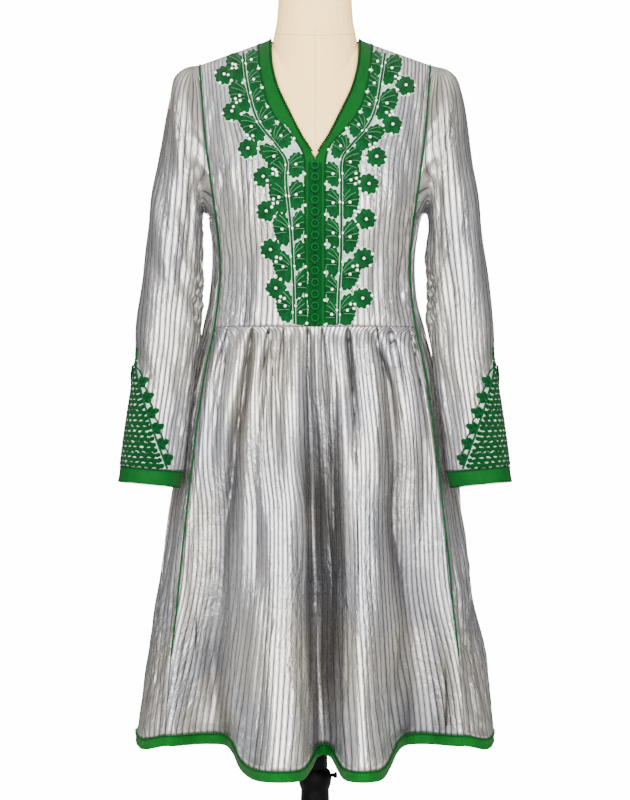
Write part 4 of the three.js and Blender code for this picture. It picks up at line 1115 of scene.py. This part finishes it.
# %% Laying needlework on the sleeve
def on_sleeve(across, up, out, sign):
    """Points on the sleeve's outside: across forward from the gusset's middle line, up from the cuff."""
    across, up = np.broadcast_arrays(np.asarray(across, float), np.asarray(up, float))
    across = across + GUSSET_LEAN * smooth(up / GUSSET_HEIGHT)
    rows = sleeve_at(levels_down[-1] - up.ravel())
    share = (across.ravel() / CUFF_ROUND) % 1.0 * AROUND
    i = np.floor(share).astype(int) % AROUND
    t = (share - np.floor(share))[:, None]
    k = np.arange(len(i))
    p = rows[k, i] * (1 - t) + rows[k, (i + 1) % AROUND] * t
    centre = rows.mean(1)
    away = (p - centre) * [1, 1, 0.12]
    away /= np.linalg.norm(away, axis=1, keepdims=True)
    return ((p + away * np.broadcast_to(out, up.shape).ravel()[:, None]) * [sign, 1, 1]).reshape(*up.shape, 3)


def motif(place, centre, outline, height, turn, around, rings, lift):
    """A raised rounded motif: outline(angle) is its radius, place(a, b, out) lays it on the cloth."""
    angle = np.linspace(0, 2 * np.pi, around, endpoint=False)
    radius = outline(angle)
    points, uv_spots = [place(centre[0], centre[1], lift + height)[None]], [[0, 0]]
    for share in rings:
        a = centre[0] + radius * share * np.cos(angle + turn)
        b = centre[1] + radius * share * np.sin(angle + turn)
        groove = 0.35 * (radius.max() - radius) / radius.max() * share
        tall = height * (1 - share ** 3.2) * (1 - groove)
        points.append(place(a, b, lift + tall))
        uv_spots += list(zip(angle * radius.max() * 0.62, np.full(around, share * radius.max())))
    foot = 0.99 * radius
    points.append(place(centre[0] + foot * np.cos(angle + turn), centre[1] + foot * np.sin(angle + turn),
                        0.0 * angle))
    uv_spots += list(zip(angle * radius.max() * 0.62, np.full(around, radius.max())))
    points = np.concatenate(points)
    ring_start = [1 + i * around for i in range(len(rings) + 1)]
    after = (np.arange(around) + 1) % around
    faces = [[0, 1 + k, 1 + after[k]] for k in range(around)]
    for low, high in zip(ring_start[:-1], ring_start[1:]):
        faces += [[low + k, high + k, high + after[k], low + after[k]] for k in range(around)]
    return points, faces, np.array(uv_spots)


def worked(name, motifs, finish, flip):
    """One piece of needlework from many motifs, with its faces turned over on the other side."""
    points, faces, uv, start = [], [], [], 0
    for p, f, w in motifs:
        points.append(p)
        for face in f:
            face = face[::-1] if flip else face
            faces.append([i + start for i in face])
            uv += [w[i] for i in face]
        start += len(p)
    return piece(name, np.concatenate(points), faces, np.array(uv), finish, "embroidery")


def petals(radius, count, depth):
    """A round outline with notches between its petals."""
    return lambda a: radius * (1 - depth * (1 - np.abs(np.cos(a * count / 2))))


def pearls(places, radius):
    """Small round beads, each a short stack of rings."""
    lots = []
    rows, around = 5, 8
    for p in places:
        points = []
        for i in range(rows + 1):
            tilt = np.pi * i / rows
            a = np.linspace(0, 2 * np.pi, around, endpoint=False)
            points.append(p + radius * np.stack([np.sin(tilt) * np.cos(a), -np.cos(tilt) + 0 * a,
                                                 np.sin(tilt) * np.sin(a)], -1))
        lots.append((np.concatenate(points), grid_faces(rows + 1, around, True)[0].tolist()))
    return lots


# %% Gusset net, florets, stems and leaves
FLORET_ROWS, ROW_PITCH, FLORET_PITCH, FLORET = 20, 7.4, 4.7, 4.2
LOOPS, LOOP_PITCH, LOOP_OUT, STEM_IN = 6, 21.5, 9, 8
LOBES = [[0.0, 6.2, 6.0], [1.25, 5.2, 4.8], [-1.25, 5.2, 4.8]]
TIP_LEAVES = [[0, -5, 5.0], [0, 2, 3.8], [0, 8, 2.8], [4.5, -12, 4.4], [-4.5, -12, 4.4], [0, -18, 4.4]]
LEAF_RINGS = (0.5, 0.85, 1.0)
chance = np.random.RandomState(12)
for name, sign in (("right", 1), ("left", -1)):
    place = lambda a, b, out: on_sleeve(a, b, out, sign)
    ups = np.linspace(1.5, GUSSET_HEIGHT - 1, 60)
    across = np.linspace(1, -1, 60)
    net = np.stack([place(across * (gusset_half(u) - 1.5), np.full(60, u), 1.0) for u in ups])
    if sign < 0:
        net = net[:, ::-1]
    ground = cloth(f"gusset_net_{name}", net, NET, "embroidery", thick=0.6)
    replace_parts(ground, f"gusset_embroidery_{name}")
    florets, stems, leaves = [], [], []
    for row in range(FLORET_ROWS):
        up = 5.0 + row * ROW_PITCH
        wide = gusset_half(up) - 11.5
        if wide < 2:
            continue
        count = max(2, int(2 * wide / FLORET_PITCH))
        for i in range(count):
            a = mix(-wide, wide, (i + 0.5) / count) + chance.uniform(-0.5, 0.5)
            b = up + (0.8 if i % 2 else -0.8) + chance.uniform(-0.5, 0.5)
            outline = petals(FLORET + chance.uniform(-0.4, 0.3), 4, 0.22)
            florets.append(motif(place, (a, b), outline, 0.9, chance.uniform(0, 1.5), 12, (0.6, 1.0), 1.1))
    for edge in (1, -1):
        up = np.linspace(2, GUSSET_HEIGHT - 14, 90)
        stems.append(tube(place(edge * (gusset_half(up) - STEM_IN), up, 3.0), 1.6, 6))
        for k in range(LOOPS):
            low = 14 + k * LOOP_PITCH
            arc = np.linspace(0, np.pi, 16)
            b = low + 10.5 - 10.5 * np.cos(arc)
            a = edge * (gusset_half(b) - STEM_IN + LOOP_OUT * np.sin(arc))
            stems.append(tube(place(a, b, 2.4), 1.15, 6))
            lean = 0.55 if edge > 0 else np.pi - 0.55
            spot = np.array([edge * (gusset_half(low) - 5.0), low])
            for swing, reach, size in LOBES:
                heading = lean + swing
                middle = spot + reach * np.array([np.cos(heading), np.sin(heading)])
                leaves.append(motif(place, middle, lambda q, size=size: size * (1 - 0.2 * np.abs(np.sin(q))),
                                    1.1, heading, 16, LEAF_RINGS, 1.1))
    for across, above, radius in TIP_LEAVES:
        middle = (across, GUSSET_HEIGHT + above)
        leaves.append(motif(place, middle, petals(radius, 6, 0.1), 1.1, 0, 18, LEAF_RINGS, 1.1))
    worked(f"gusset_florets_{name}", florets, STITCH, sign < 0)
    worked(f"gusset_leaves_{name}", leaves, STITCH, sign < 0)
    sewn_on(f"gusset_stems_{name}", stems, PIPING)
print("gusset florets", len(florets), "a side")

# %% [markdown]
# ## Neck braid and placket
# One braid edges the V neck and runs down as the placket to the waist seam; a shorter length edges the
# back neck. Its inner edge has a picot, a row of tiny loops, and its outer edge a row of stitching. The
# braid could be an extruded band, but it has to lie flat on a round body. It is therefore a narrow grid
# on the body with a slightly hollow middle, and each loop is one small bead of thread.

# %% Neck braid
def braid_edge(h):
    return np.where(h < V_POINT, 0.2, neckline_at(h))


NECK_RAISED = np.array([0.5, 1.1, 0.7, 0.45, 0.35, 0.35, 0.45, 0.7, 1.1, 0.6])
BACK_RAISED = np.array([0.5, 1.0, 0.6, 0.4, 0.4, 0.6, 1.0, 0.5])
PICOT, SMALL_PICOT = 2.0, 1.6
rib_rows = np.linspace(0.0008, 0.9992, 220)
neck = np.stack([
    body_line(s, braid_edge, lambda h: braid_seam_at(h) - PANEL_GAP, rib_rows, -1)
    for s in np.linspace(0, 1, len(NECK_RAISED))], 1)
neck = neck + ways_out(neck) * NECK_RAISED[None, :, None]
neck_sewn = neck[4:, -2] + 0.9 * ways_out(neck)[4:, -2]
picot = along(neck[:, 0], np.arange(0.53, 0.999, 0.0082)) - [1.2, 0.4, 0]
for name, sign in (("right", 1), ("left", -1)):
    grid, uv = (neck, rule(neck)) if sign > 0 else (mirrored(neck), rule(neck)[:, ::-1])
    strip = cloth(f"neck_braid_{name}_band", grid, BRAID, "green_braid", uv, thick=1.6)
    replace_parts(strip, f"neck_braid_{name}")
    sewn_on(f"neck_edge_{name}", [tube(neck_sewn * [sign, 1, 1], EDGE_CORD, 5)], BRAID_DARK, "green_braid")
    sewn_on(f"neck_picot_{name}", pearls(picot * [sign, 1, 1], PICOT), BRAID_DARK, "green_braid")

swing = np.sin(np.linspace(0.5, -0.5, 120) * np.pi)
edge_height = mix(BACK_EDGE, NECK_HEIGHT, np.abs(swing) ** BACK_POWER)
back_rows = []
for up in np.linspace(0, 1, len(BACK_RAISED)):
    x = mix(swing * (BAND_CORNER - 0.6), swing * NECK_X, up)
    h = np.minimum(mix(back_neck_at(swing * BAND_CORNER) + 0.5, edge_height, up), shoulder_at(x) - 0.02)
    p = on_body(x, h, 1)
    p[:, 1] = np.maximum(p[:, 1], RIDGE_Y + 0.4)
    back_rows.append(p)
back_band = np.array(back_rows)
back_band += ways_out(back_band) * BACK_RAISED[:, None, None]
strip = cloth("neck_braid_back_band", back_band, BRAID, "green_braid", rule(back_band)[..., ::-1], thick=1.5)
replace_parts(strip, "neck_braid_back")
back_picot = along(back_band[-1], np.arange(0.01, 0.995, 0.019))
sewn_on("neck_picot_back", pearls(back_picot, SMALL_PICOT), BRAID_DARK, "green_braid")
cuff_picots = along(np.r_[bands[0], bands[0][:1]], np.arange(0, 1, 1 / 62))
for name, sign in (("right", 1), ("left", -1)):
    loops = pearls(cuff_picots * [sign, 1, 1] - [0, 0, 0.3], SMALL_PICOT)
    sewn_on(f"cuff_picot_{name}", loops, BRAID_DARK, "green_braid")
print("picot loops", 2 * len(picot))

# %% [markdown]
# ## Buttons
# Fourteen small knots close the placket. Each is a ring of cord with a raised knot in the middle. A
# plain ball would read as a bead, so the ring is a twisted torus and the knot a low dome in it.

# %% Knotted buttons
BUTTONS, BUTTON_TOP, BUTTON_PITCH = 14, 1243.5, 15.98
RING_RADIUS, RING_CORD, RING_STANDS = 4.7, 1.7, 2.9
RING_STEPS, CORD_STEPS = 40, 12
PLACKET = [[0.3, 1.0], [3, 1.2], [6, 1.3], [7.4, 1.9], [8.4, 1.6], [8.8, 0.9]]
strip_rows = np.linspace(WAIST + 0.6, V_POINT - 8, 120)
for name, sign in (("right", 1), ("left", -1)):
    strip = np.stack([on_body(sign * x + 0 * strip_rows, strip_rows, -1, out) for x, out in PLACKET], 1)
    strip = strip if sign > 0 else strip[:, ::-1]
    inner = cloth(f"placket_strip_{name}", strip, BRAID_DARK, "green_braid", thick=0.6)
a, b = np.meshgrid(np.linspace(0, 2 * np.pi, RING_STEPS, endpoint=False),
                   np.linspace(0, 2 * np.pi, CORD_STEPS, endpoint=False))
thick = RING_CORD + 0.2 * np.sin(9 * a + 2 * b)
ring_x, ring_z = ((RING_RADIUS + thick * np.cos(b)) * wave for wave in (np.cos(a), np.sin(a)))
ring_faces = []
for here, after in zip(range(CORD_STEPS), np.roll(range(CORD_STEPS), -1)):
    for c in range(RING_STEPS):
        beside = (c + 1) % RING_STEPS
        ring_faces.append([row * RING_STEPS + column for row, column in (
            (here, c), (here, beside), (after, beside), (after, c))])
for i in range(BUTTONS):
    height = BUTTON_TOP - i * BUTTON_PITCH
    spot = on_body(0 * ring_x, height + ring_z, -1)
    points = np.stack([ring_x, spot[..., 1] - RING_STANDS - thick * np.sin(b), height + ring_z], -1)
    knot = motif(lambda x, z, out: on_body(x, z, -1, out), (0, height), petals(2.0, 4, 0.12), 1.2, 0.3 * i,
                 16, (0.4, 0.75, 1.0), 1.3)
    button = sewn_on(f"button_{i + 1:02d}_knot", [(points.reshape(-1, 3), ring_faces), knot[:2]], KNOT,
                     "knot_button")
    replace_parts(button, f"button_{i + 1:02d}")
print("buttons", BUTTONS)

# %% [markdown]
# ## Worked yoke
# Beside the braid lies a band of needlework: a stem with large scalloped leaves on both sides, and a
# row of round flowers along its outer edge. Every motif is filled with satin stitch, outlined in mint
# and tipped with small pearls. It could be cut from one flat sheet, but satin stitch is padded. Each
# motif is a low dome that falls to its edge, over a thin mint one that is a little larger. Its places
# were measured on the dress as heights and distances from the middle, and the two sides differ a
# little, as handwork does.

# %% Where the motifs lie
# Flowers: distance from the middle and height. Leaves: heights of their middles along the stem.
FLOWERS = {
    "left": [
        [125, 1374], [113.5, 1320.3], [91, 1267.2], [70, 1227.6], [65.5, 1180.7], [60, 1129.2],
        [53, 1076.2]],
    "right": [
        [125, 1358.2], [106, 1301.4], [83.5, 1255.6], [73, 1217.8], [69, 1169.9], [66, 1117.1],
        [64.5, 1062.6]]}
OUTER_LEAVES = {
    "left": [1388, 1345, 1303, 1262, 1232, 1200, 1157, 1106, 1052],
    "right": [1384, 1334, 1290, 1250, 1222, 1192, 1146, 1096, 1046]}
INNER_LEAVES = {
    "left": [1393, 1363, 1334, 1305, 1276, 1243, 1201, 1160, 1120, 1081, 1043],
    "right": [1390, 1358, 1326, 1293, 1263, 1231, 1191, 1151, 1112, 1074, 1040]}
STEM = {
    "left": [
        [98.8, 1404], [94.8, 1367.3], [84.7, 1323.6], [74.7, 1299.8], [53.4, 1272], [38.9, 1249.4],
        [38.9, 1224.3], [36.8, 1198.1], [32.7, 1159.9], [30.2, 1112.7], [28.4, 1055.6], [28, 1028]],
    "right": [
        [96.5, 1402], [90.7, 1364.2], [84, 1327.9], [71.4, 1297.7], [47.9, 1269.1], [36.5, 1252],
        [35.4, 1217.4], [35.4, 1160], [34.9, 1112.7], [32.1, 1061.1], [31.5, 1028]]}


def front_place(sign):
    """Lays points on one bodice front, by distance from the middle and height."""
    def place(x, z, out):
        x = np.asarray(x, float)
        return on_body(sign * x, np.clip(z, WAIST + 1.5, shoulder_at(x) - 1.5), -1, out)
    return place


def leaf_outline(long, wide, lobes, cut, grow=1.0):
    """A full oval with scalloped edges; angle 0 is along its length."""
    def outline(a):
        oval = (np.abs(np.cos(a) / long) ** 2.15 + np.abs(np.sin(a) / wide) ** 2.15) ** (-1 / 2.15)
        return grow * oval * (1 - cut * (1 - np.abs(np.cos(a * lobes / 2))))
    return outline


# %% One leaf, its veins and a flower's stalk
VEINS = (0.3, 0.85, 1.35, 1.85)


def leaf_on_stem(stem_at, z, outer, k):
    """A leaf's middle, its way along the stem and away from it, and its half length and half width."""
    rise = np.array([float(stem_at(z + 6) - stem_at(z - 6)), 12.0])
    rise /= np.linalg.norm(rise)
    away = outer * np.array([rise[1], -rise[0]])
    gap = (float(stem_at(z)) - float(braid_seam_at(z))) * rise[1]
    if outer > 0:
        long, wide = 24.0 if z < 1240 else 26.0, 13.2 + 0.9 * math.sin(2 * k)
    else:
        long, wide = 21.5 if z < 1225 else 19.0, max(gap / 2 + 1.6, 9.5)
    middle = np.array([float(stem_at(z)), z]) + away * (wide - 0.9)
    return middle, rise, away, long, wide


def leaf_veins(place, middle, rise, away, long, wide):
    """Four pale stitched lines that fan out over a leaf from its foot."""
    lines = []
    foot = middle - 0.5 * long * rise - 0.92 * wide * away
    for k, q in enumerate(VEINS):
        end = middle + 0.86 * long * math.cos(q) * rise + 0.86 * wide * math.sin(q) * away
        bend = foot + 0.8 * long * rise * (1 - 0.15 * k)
        t = np.linspace(0.42 + 0.04 * k, 1, 12)[:, None]
        arc = (1 - t) ** 2 * foot + 2 * t * (1 - t) * bend + t * t * end
        far = np.hypot(*(arc - middle).T) / max(long, wide)
        lines.append(tube(place(arc[:, 0], arc[:, 1], 1.05 + 1.4 * (1 - far ** 2.6)), 0.26, 5))
    return lines


def towards_leaf(x, z, spots):
    """The way from a flower to the leaf that is nearest to it."""
    nearest = min(spots, key=lambda c: (c[0] - x) ** 2 + (c[1] - z) ** 2)
    way = nearest - [x, z]
    return way / np.linalg.norm(way)


# %% Stitching the yoke
LEAF_LOBES, LEAF_CUT, LEAF_GROW = 16, 0.13, 1.08
PETALS, PETAL_CUT, FLOWER, FLOWER_OUTLINE = 10, 0.15, 14.9, 16.0
YOKE_PEARL, STEM_CORD, STEM_EDGE = 2.2, 1.6, 2.0
FLAT_RINGS, DOME_RINGS = (0.5, 0.9, 1.0), (0.3, 0.6, 0.85, 1.0)
for name, sign in (("right", 1), ("left", -1)):
    place = front_place(sign)
    stem = np.array(STEM[name], float)
    stem_at = spline(stem[:, 1], stem[:, 0])
    heights = np.linspace(WAIST + 2, 1404, 150)
    inner, outer = braid_seam_at(heights) + 0.6, stem_at(heights) + 15
    net = np.stack([place(mix(inner, outer, s), heights, 0.5) for s in np.linspace(0, 1, 22)], 1)
    ground = cloth(f"yoke_net_{name}", net[:, ::-1] if sign < 0 else net, NET, "embroidery", thick=0.4)
    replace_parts(ground, f"yoke_embroidery_{name}")
    flowers, leaves, outlines, beads, cords, edges, veins, leaf_spots = [], [], [], [], [], [], [], []
    for outer, levels in ((1, OUTER_LEAVES[name]), (-1, INNER_LEAVES[name])):
        for k, z in enumerate(levels):
            middle, rise, away, long, wide = leaf_on_stem(stem_at, z, outer, k)
            heading = math.atan2(rise[1], rise[0]) - outer * (0.22 + 0.08 * math.sin(3 * k))
            larger = leaf_outline(long, wide, LEAF_LOBES, LEAF_CUT, LEAF_GROW)
            outlines.append(motif(place, middle, larger, 0.5, heading, 120, FLAT_RINGS, 0.5))
            outline = leaf_outline(long, wide, LEAF_LOBES, LEAF_CUT)
            leaves.append(motif(place, middle, outline, 1.5, heading, 130, DOME_RINGS, 0.8))
            veins += leaf_veins(place, middle, rise, away, long, wide)
            tip = middle + away * wide * 0.86 - rise * long * (0.5 if outer > 0 else 0.72)
            beads += [place(*middle, 2.9), place(*(middle - away * (wide + 0.6)), 2.6), place(*tip, 1.8)]
            if outer > 0:
                leaf_spots.append(middle)
    for k, (x, z) in enumerate(FLOWERS[name]):
        larger, outline = petals(FLOWER_OUTLINE, PETALS, PETAL_CUT), petals(FLOWER, PETALS, PETAL_CUT)
        outlines.append(motif(place, (x, z), larger, 0.5, 0.3 * k, 100, FLAT_RINGS, 0.5))
        flowers.append(motif(place, (x, z), outline, 1.7, 0.3 * k, 100, DOME_RINGS, 0.9))
        beads.append(place(x, z, 3.1))
        to = towards_leaf(x, z, leaf_spots)
        for swing in (0, 1.45, 2.75, 4.1):
            q = math.atan2(to[1], to[0]) + swing
            beads.append(place(x + 13.4 * math.cos(q), z + 13.4 * math.sin(q), 1.8))
        bar = np.linspace(11, 21, 8)
        cords.append(tube(place(x + bar * to[0], z + bar * to[1], 1.6), 1.2, 6))
        for off in (-3.8, 3.8):
            beads.append(place(x + 18 * to[0] - off * to[1], z + 18 * to[1] + off * to[0], 2.3))
    up = np.linspace(WAIST + 3, 1403, 160)
    cords.append(tube(place(stem_at(up), up, 3.4), STEM_CORD, 6))
    edges += [tube(place(stem_at(up) + off, up, 2.6), 0.38, 5) for off in (-STEM_EDGE, STEM_EDGE)]
    worked(f"yoke_flowers_{name}", flowers, STITCH, sign > 0)
    worked(f"yoke_leaves_{name}", leaves, STITCH, sign > 0)
    worked(f"yoke_outlines_{name}", outlines, MINT, sign > 0)
    sewn_on(f"yoke_pearls_{name}", pearls(beads, YOKE_PEARL), PEARL)
    sewn_on(f"yoke_stem_{name}", cords, PIPING)
    sewn_on(f"yoke_stem_edges_{name}", edges, MINT)
    sewn_on(f"yoke_leaf_veins_{name}", veins, VEIN)
print("flowers a side", len(FLOWERS["left"]), "leaves", len(OUTER_LEAVES["left"]) + len(INNER_LEAVES["left"]))

# %% [markdown]
# ## Piping
# A thin green cord is caught in the long seams, from the shoulder down past the waist, and runs out
# above the hem. A bevelled curve would do, but a tube worked out along the panels' own edges stays in
# the seam at every height. It is half sunk between the two panels.

# %% Piping along the seams
CORD_POINTS, CORD_RADIUS, CORD_END = 330, 1.25, 0.3
CORD_FOOT, SHOULDER_LEVEL = 532, 1388
for half, side in (("front", -1), ("back", 1)):
    bodice_edge = front[:, -1] if side < 0 else back[:, 0]
    heights = np.linspace(CORD_FOOT, WAIST - 2, 150)
    skirt_edge = on_body(seam_at(heights), heights, side)
    skirt_edge[:, 2] += hem_rise(heights)
    line = along(np.concatenate([skirt_edge, bodice_edge]), np.linspace(0, 1, CORD_POINTS))
    level = np.minimum(line[:, 2], SHOULDER_LEVEL)
    outwards = on_body(line[:, 0], level, side, 1.0) - on_body(line[:, 0], level, side)
    line = line + outwards * 0.75
    taper = CORD_RADIUS * smooth(np.linspace(0, CORD_POINTS, CORD_POINTS) / 12)
    for name, sign in (("right", 1), ("left", -1)):
        cord = tube(line * [sign, 1, 1], np.maximum(taper, CORD_END), 8)
        cord = sewn_on(f"piping_{half}_{name}_cord", [cord], PIPING, "green_braid")
        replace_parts(cord, f"piping_{half}_{name}")
print("piping", round(np.linalg.norm(np.diff(line, axis=0), axis=1).sum()), "mm long")

# %% [markdown]
# ## Form and stand
# The form's torso keeps its CAD solid, which is already smooth, and gets the jersey. The turned parts
# are lathed again with more steps round, from the same profiles, so their outlines are true circles.

# %% Jersey on the torso
torso = bpy.data.objects["form_torso"]
torso.data.materials.clear()
torso.data.materials.append(JERSEY)
for polygon in torso.data.polygons:
    polygon.use_smooth = True

# %% [markdown]
# ### The form's seams
# The real cover is cut in panels, and one seam runs down the middle of the chest and another round the
# base of the neck. They could be drawn by the finish, but a sewn seam stands up a little. Each line is
# found by pins pushed straight in from outside until they meet the form, and a fine ridge follows it.

# %% Seams on the form
NECK_SEAM, NECK_SLANT, SEAM_CORD = 1436, 9, 0.45


def on_form(origin, way):
    """Where a straight pin from outside first meets the form, in millimetres."""
    hit, spot, _, _ = torso.ray_cast(np.array(origin) / 1000, way)
    return np.array(spot) * 1000 if hit else None


down_front = [on_form((0.2, -400, h), (0, 1, 0)) for h in np.linspace(NECK_SEAM, NECK_SEAM - 200, 60)]
round_neck = []
for turn in np.linspace(0, 2 * np.pi, 121):
    way = np.array([-math.sin(turn), math.cos(turn), 0])
    level = NECK_SEAM - NECK_SLANT * math.cos(turn)
    round_neck.append(on_form(np.array([0, -5, level]) - 180 * way, way))
seam_lines = [[p for p in line if p is not None] for line in (down_front, round_neck)]
sewn_on("form_seam_lines", [tube(np.array(line), SEAM_CORD, 5) for line in seam_lines], JERSEY_SEAM, "linen")
print("form seam points", [len(line) for line in seam_lines])

# %% Turned parts
def turned(name, profile, finish, slot, body, around=96, axis="Z", at=(0, 0, 0)):
    """A lathed piece from radius and height rows, with each corner softened by two more rows."""
    rows = [np.array(profile[0], float)]
    for before, here, after in zip(profile[:-2], profile[1:-1], profile[2:]):
        before, here, after = (np.array(p, float) for p in (before, here, after))
        for other in (before, after):
            gap = np.linalg.norm(other - here)
            rows.append(here + (other - here) * min(0.28, 1.2 / gap))
    rows.append(np.array(profile[-1], float))
    rows = np.array(rows)
    a = np.linspace(0, 2 * np.pi, around, endpoint=False)
    r, h = np.maximum(rows[:, :1], 0.02), rows[:, 1:] + 0 * a[None]
    ring = [r * np.cos(a), r * np.sin(a), h] if axis == "Z" else [h, r * np.cos(a), r * np.sin(a)]
    grid = np.stack(ring, -1) + np.array(at)
    faces, spots = grid_faces(len(rows), around, True)
    uv = rule(np.concatenate([grid, grid[:, :1]], 1)).reshape(-1, 2)[spots.ravel()]
    return piece(name, grid.reshape(-1, 3), faces, uv, finish, slot, body)


parts = [
    ("stand_base_turned", "stand_base", "stand", "black_wood", BLACK, [
        [0, 0], [188, 0], [190, 4], [190, 14], [182, 22], [150, 27], [60, 34], [46, 42], [0, 42]]),
    ("stand_column_turned", "stand_column", "stand", "black_wood", BLACK, [
        [0, 42.3], [44, 42.3], [46, 50], [38, 62], [27, 74], [25, 92], [31, 130], [33, 175], [30, 235],
        [24, 300], [20.6, 352], [19.6, 378], [22.5, 386], [23.4, 395], [22, 402], [20.4, 406],
        [18.1, 406], [18.1, 380]]),
    ("stand_pole_turned", "stand_pole", "pole", "black_wood", BLACK, [
        [0, 225], [17.5, 225], [17.5, 814.6], [0, 814.6]]),
    ("form_neck_cap_turned", "form_neck_cap", "dressed_form", "black_wood", BLACK, [
        [0, 1512.3], [49, 1512.3], [52, 1515.3], [52, 1521.3], [48, 1526.3], [30, 1530.3], [0, 1531.3]])]
for name, node, body, slot, finish, profile in parts:
    at = (0, -5, 0) if node == "form_neck_cap" else (0, 0, 0)
    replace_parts(turned(name, profile, finish, slot, body, at=at), node)
SCREW = [[0, -1.5], [2.8, -1.5], [2.8, 3.2], [4.6, 4], [4.6, 7.5], [0, 8]]
screw = turned("stand_screw_turned", SCREW, BLACK_METAL, "black_metal", "stand", 32, "X", (23.4, 0, 398))
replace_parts(screw, "stand_screw")
print("turned parts", len(parts) + 1)

# %% [markdown]
# ## Studio
# The picture is a plain catalogue shot: white paper floor and wall, soft light from both sides, and a
# long lens at mid-height, 4.5 m away, so that upright lines stay upright.

# %% Paper, lights and camera
paper_mesh = bpy.data.meshes.new("paper")
paper_mesh.from_pydata([[x, y, -0.0005] for y in (-3.5, 2.2) for x in (-3.5, 3.5)], [], [[0, 1, 3, 2]])
paper = bpy.data.objects.new("paper", paper_mesh)
bpy.context.collection.objects.link(paper)
paper_finish = Finish("white_paper", Roughness=0.9, Specular_IOR_Level=0.1)
grain = paper_finish.noise(paper_finish.here(), 40.0)
paper_mesh.materials.append(paper_finish.set(
    Base_Color=paper_finish.colours(grain, (0.80, 0.80, 0.80, 1), (0.86, 0.86, 0.86, 1))))

# The room: a wide soft light round the camera, dim sides, and a bright wall far behind the dress.
world = bpy.data.worlds.new("studio")
world.use_nodes = True
room = Nodes(world.node_tree)
way = room.node("ShaderNodeTexCoord", None, None, "Generated")
away, above = room.part(way, 1), room.part(way, 2)
glow = (0.0 - away).to(0.55, 1.0, 0.20, 9.0) + above.to(0.3, 1.0, 0.0, 2.0) + away.to(0.955, 0.975, 0.0, 15.0)
room.tree.links.new(glow.socket, world.node_tree.nodes["Background"].inputs["Strength"])
world.node_tree.nodes["Background"].inputs["Color"].default_value = (1, 1, 1, 1)
bpy.context.scene.world = world


def softbox(name, at, aim, size, power):
    light = bpy.data.lights.new(name, "AREA")
    light.shape, light.size, light.size_y, light.energy = "RECTANGLE", size[0], size[1], power
    lamp = bpy.data.objects.new(name, light)
    lamp.location = at
    way = np.array(aim, float) - np.array(at, float)
    tilt = math.acos(-way[2] / np.linalg.norm(way))
    lamp.rotation_euler = (tilt, 0, math.atan2(way[1], way[0]) - math.pi / 2)
    bpy.context.collection.objects.link(lamp)


softbox("left_box", (-1.9, -3.4, 2.4), (0, 0, 1.0), (0.5, 1.6), 75)
softbox("right_box", (1.9, -3.4, 2.2), (0, 0, 0.9), (0.5, 1.6), 60)

lens = bpy.data.cameras.new("camera")
lens.sensor_fit, lens.sensor_height, lens.lens = "VERTICAL", 36, 36 * 4.5 / 1.12
camera = bpy.data.objects.new("camera", lens)
camera.location = (0, -4.5, 0.923)
camera.rotation_euler = (math.pi / 2, 0, 0)
bpy.context.collection.objects.link(camera)
bpy.context.scene.camera = camera

print("pieces made:", len(made))
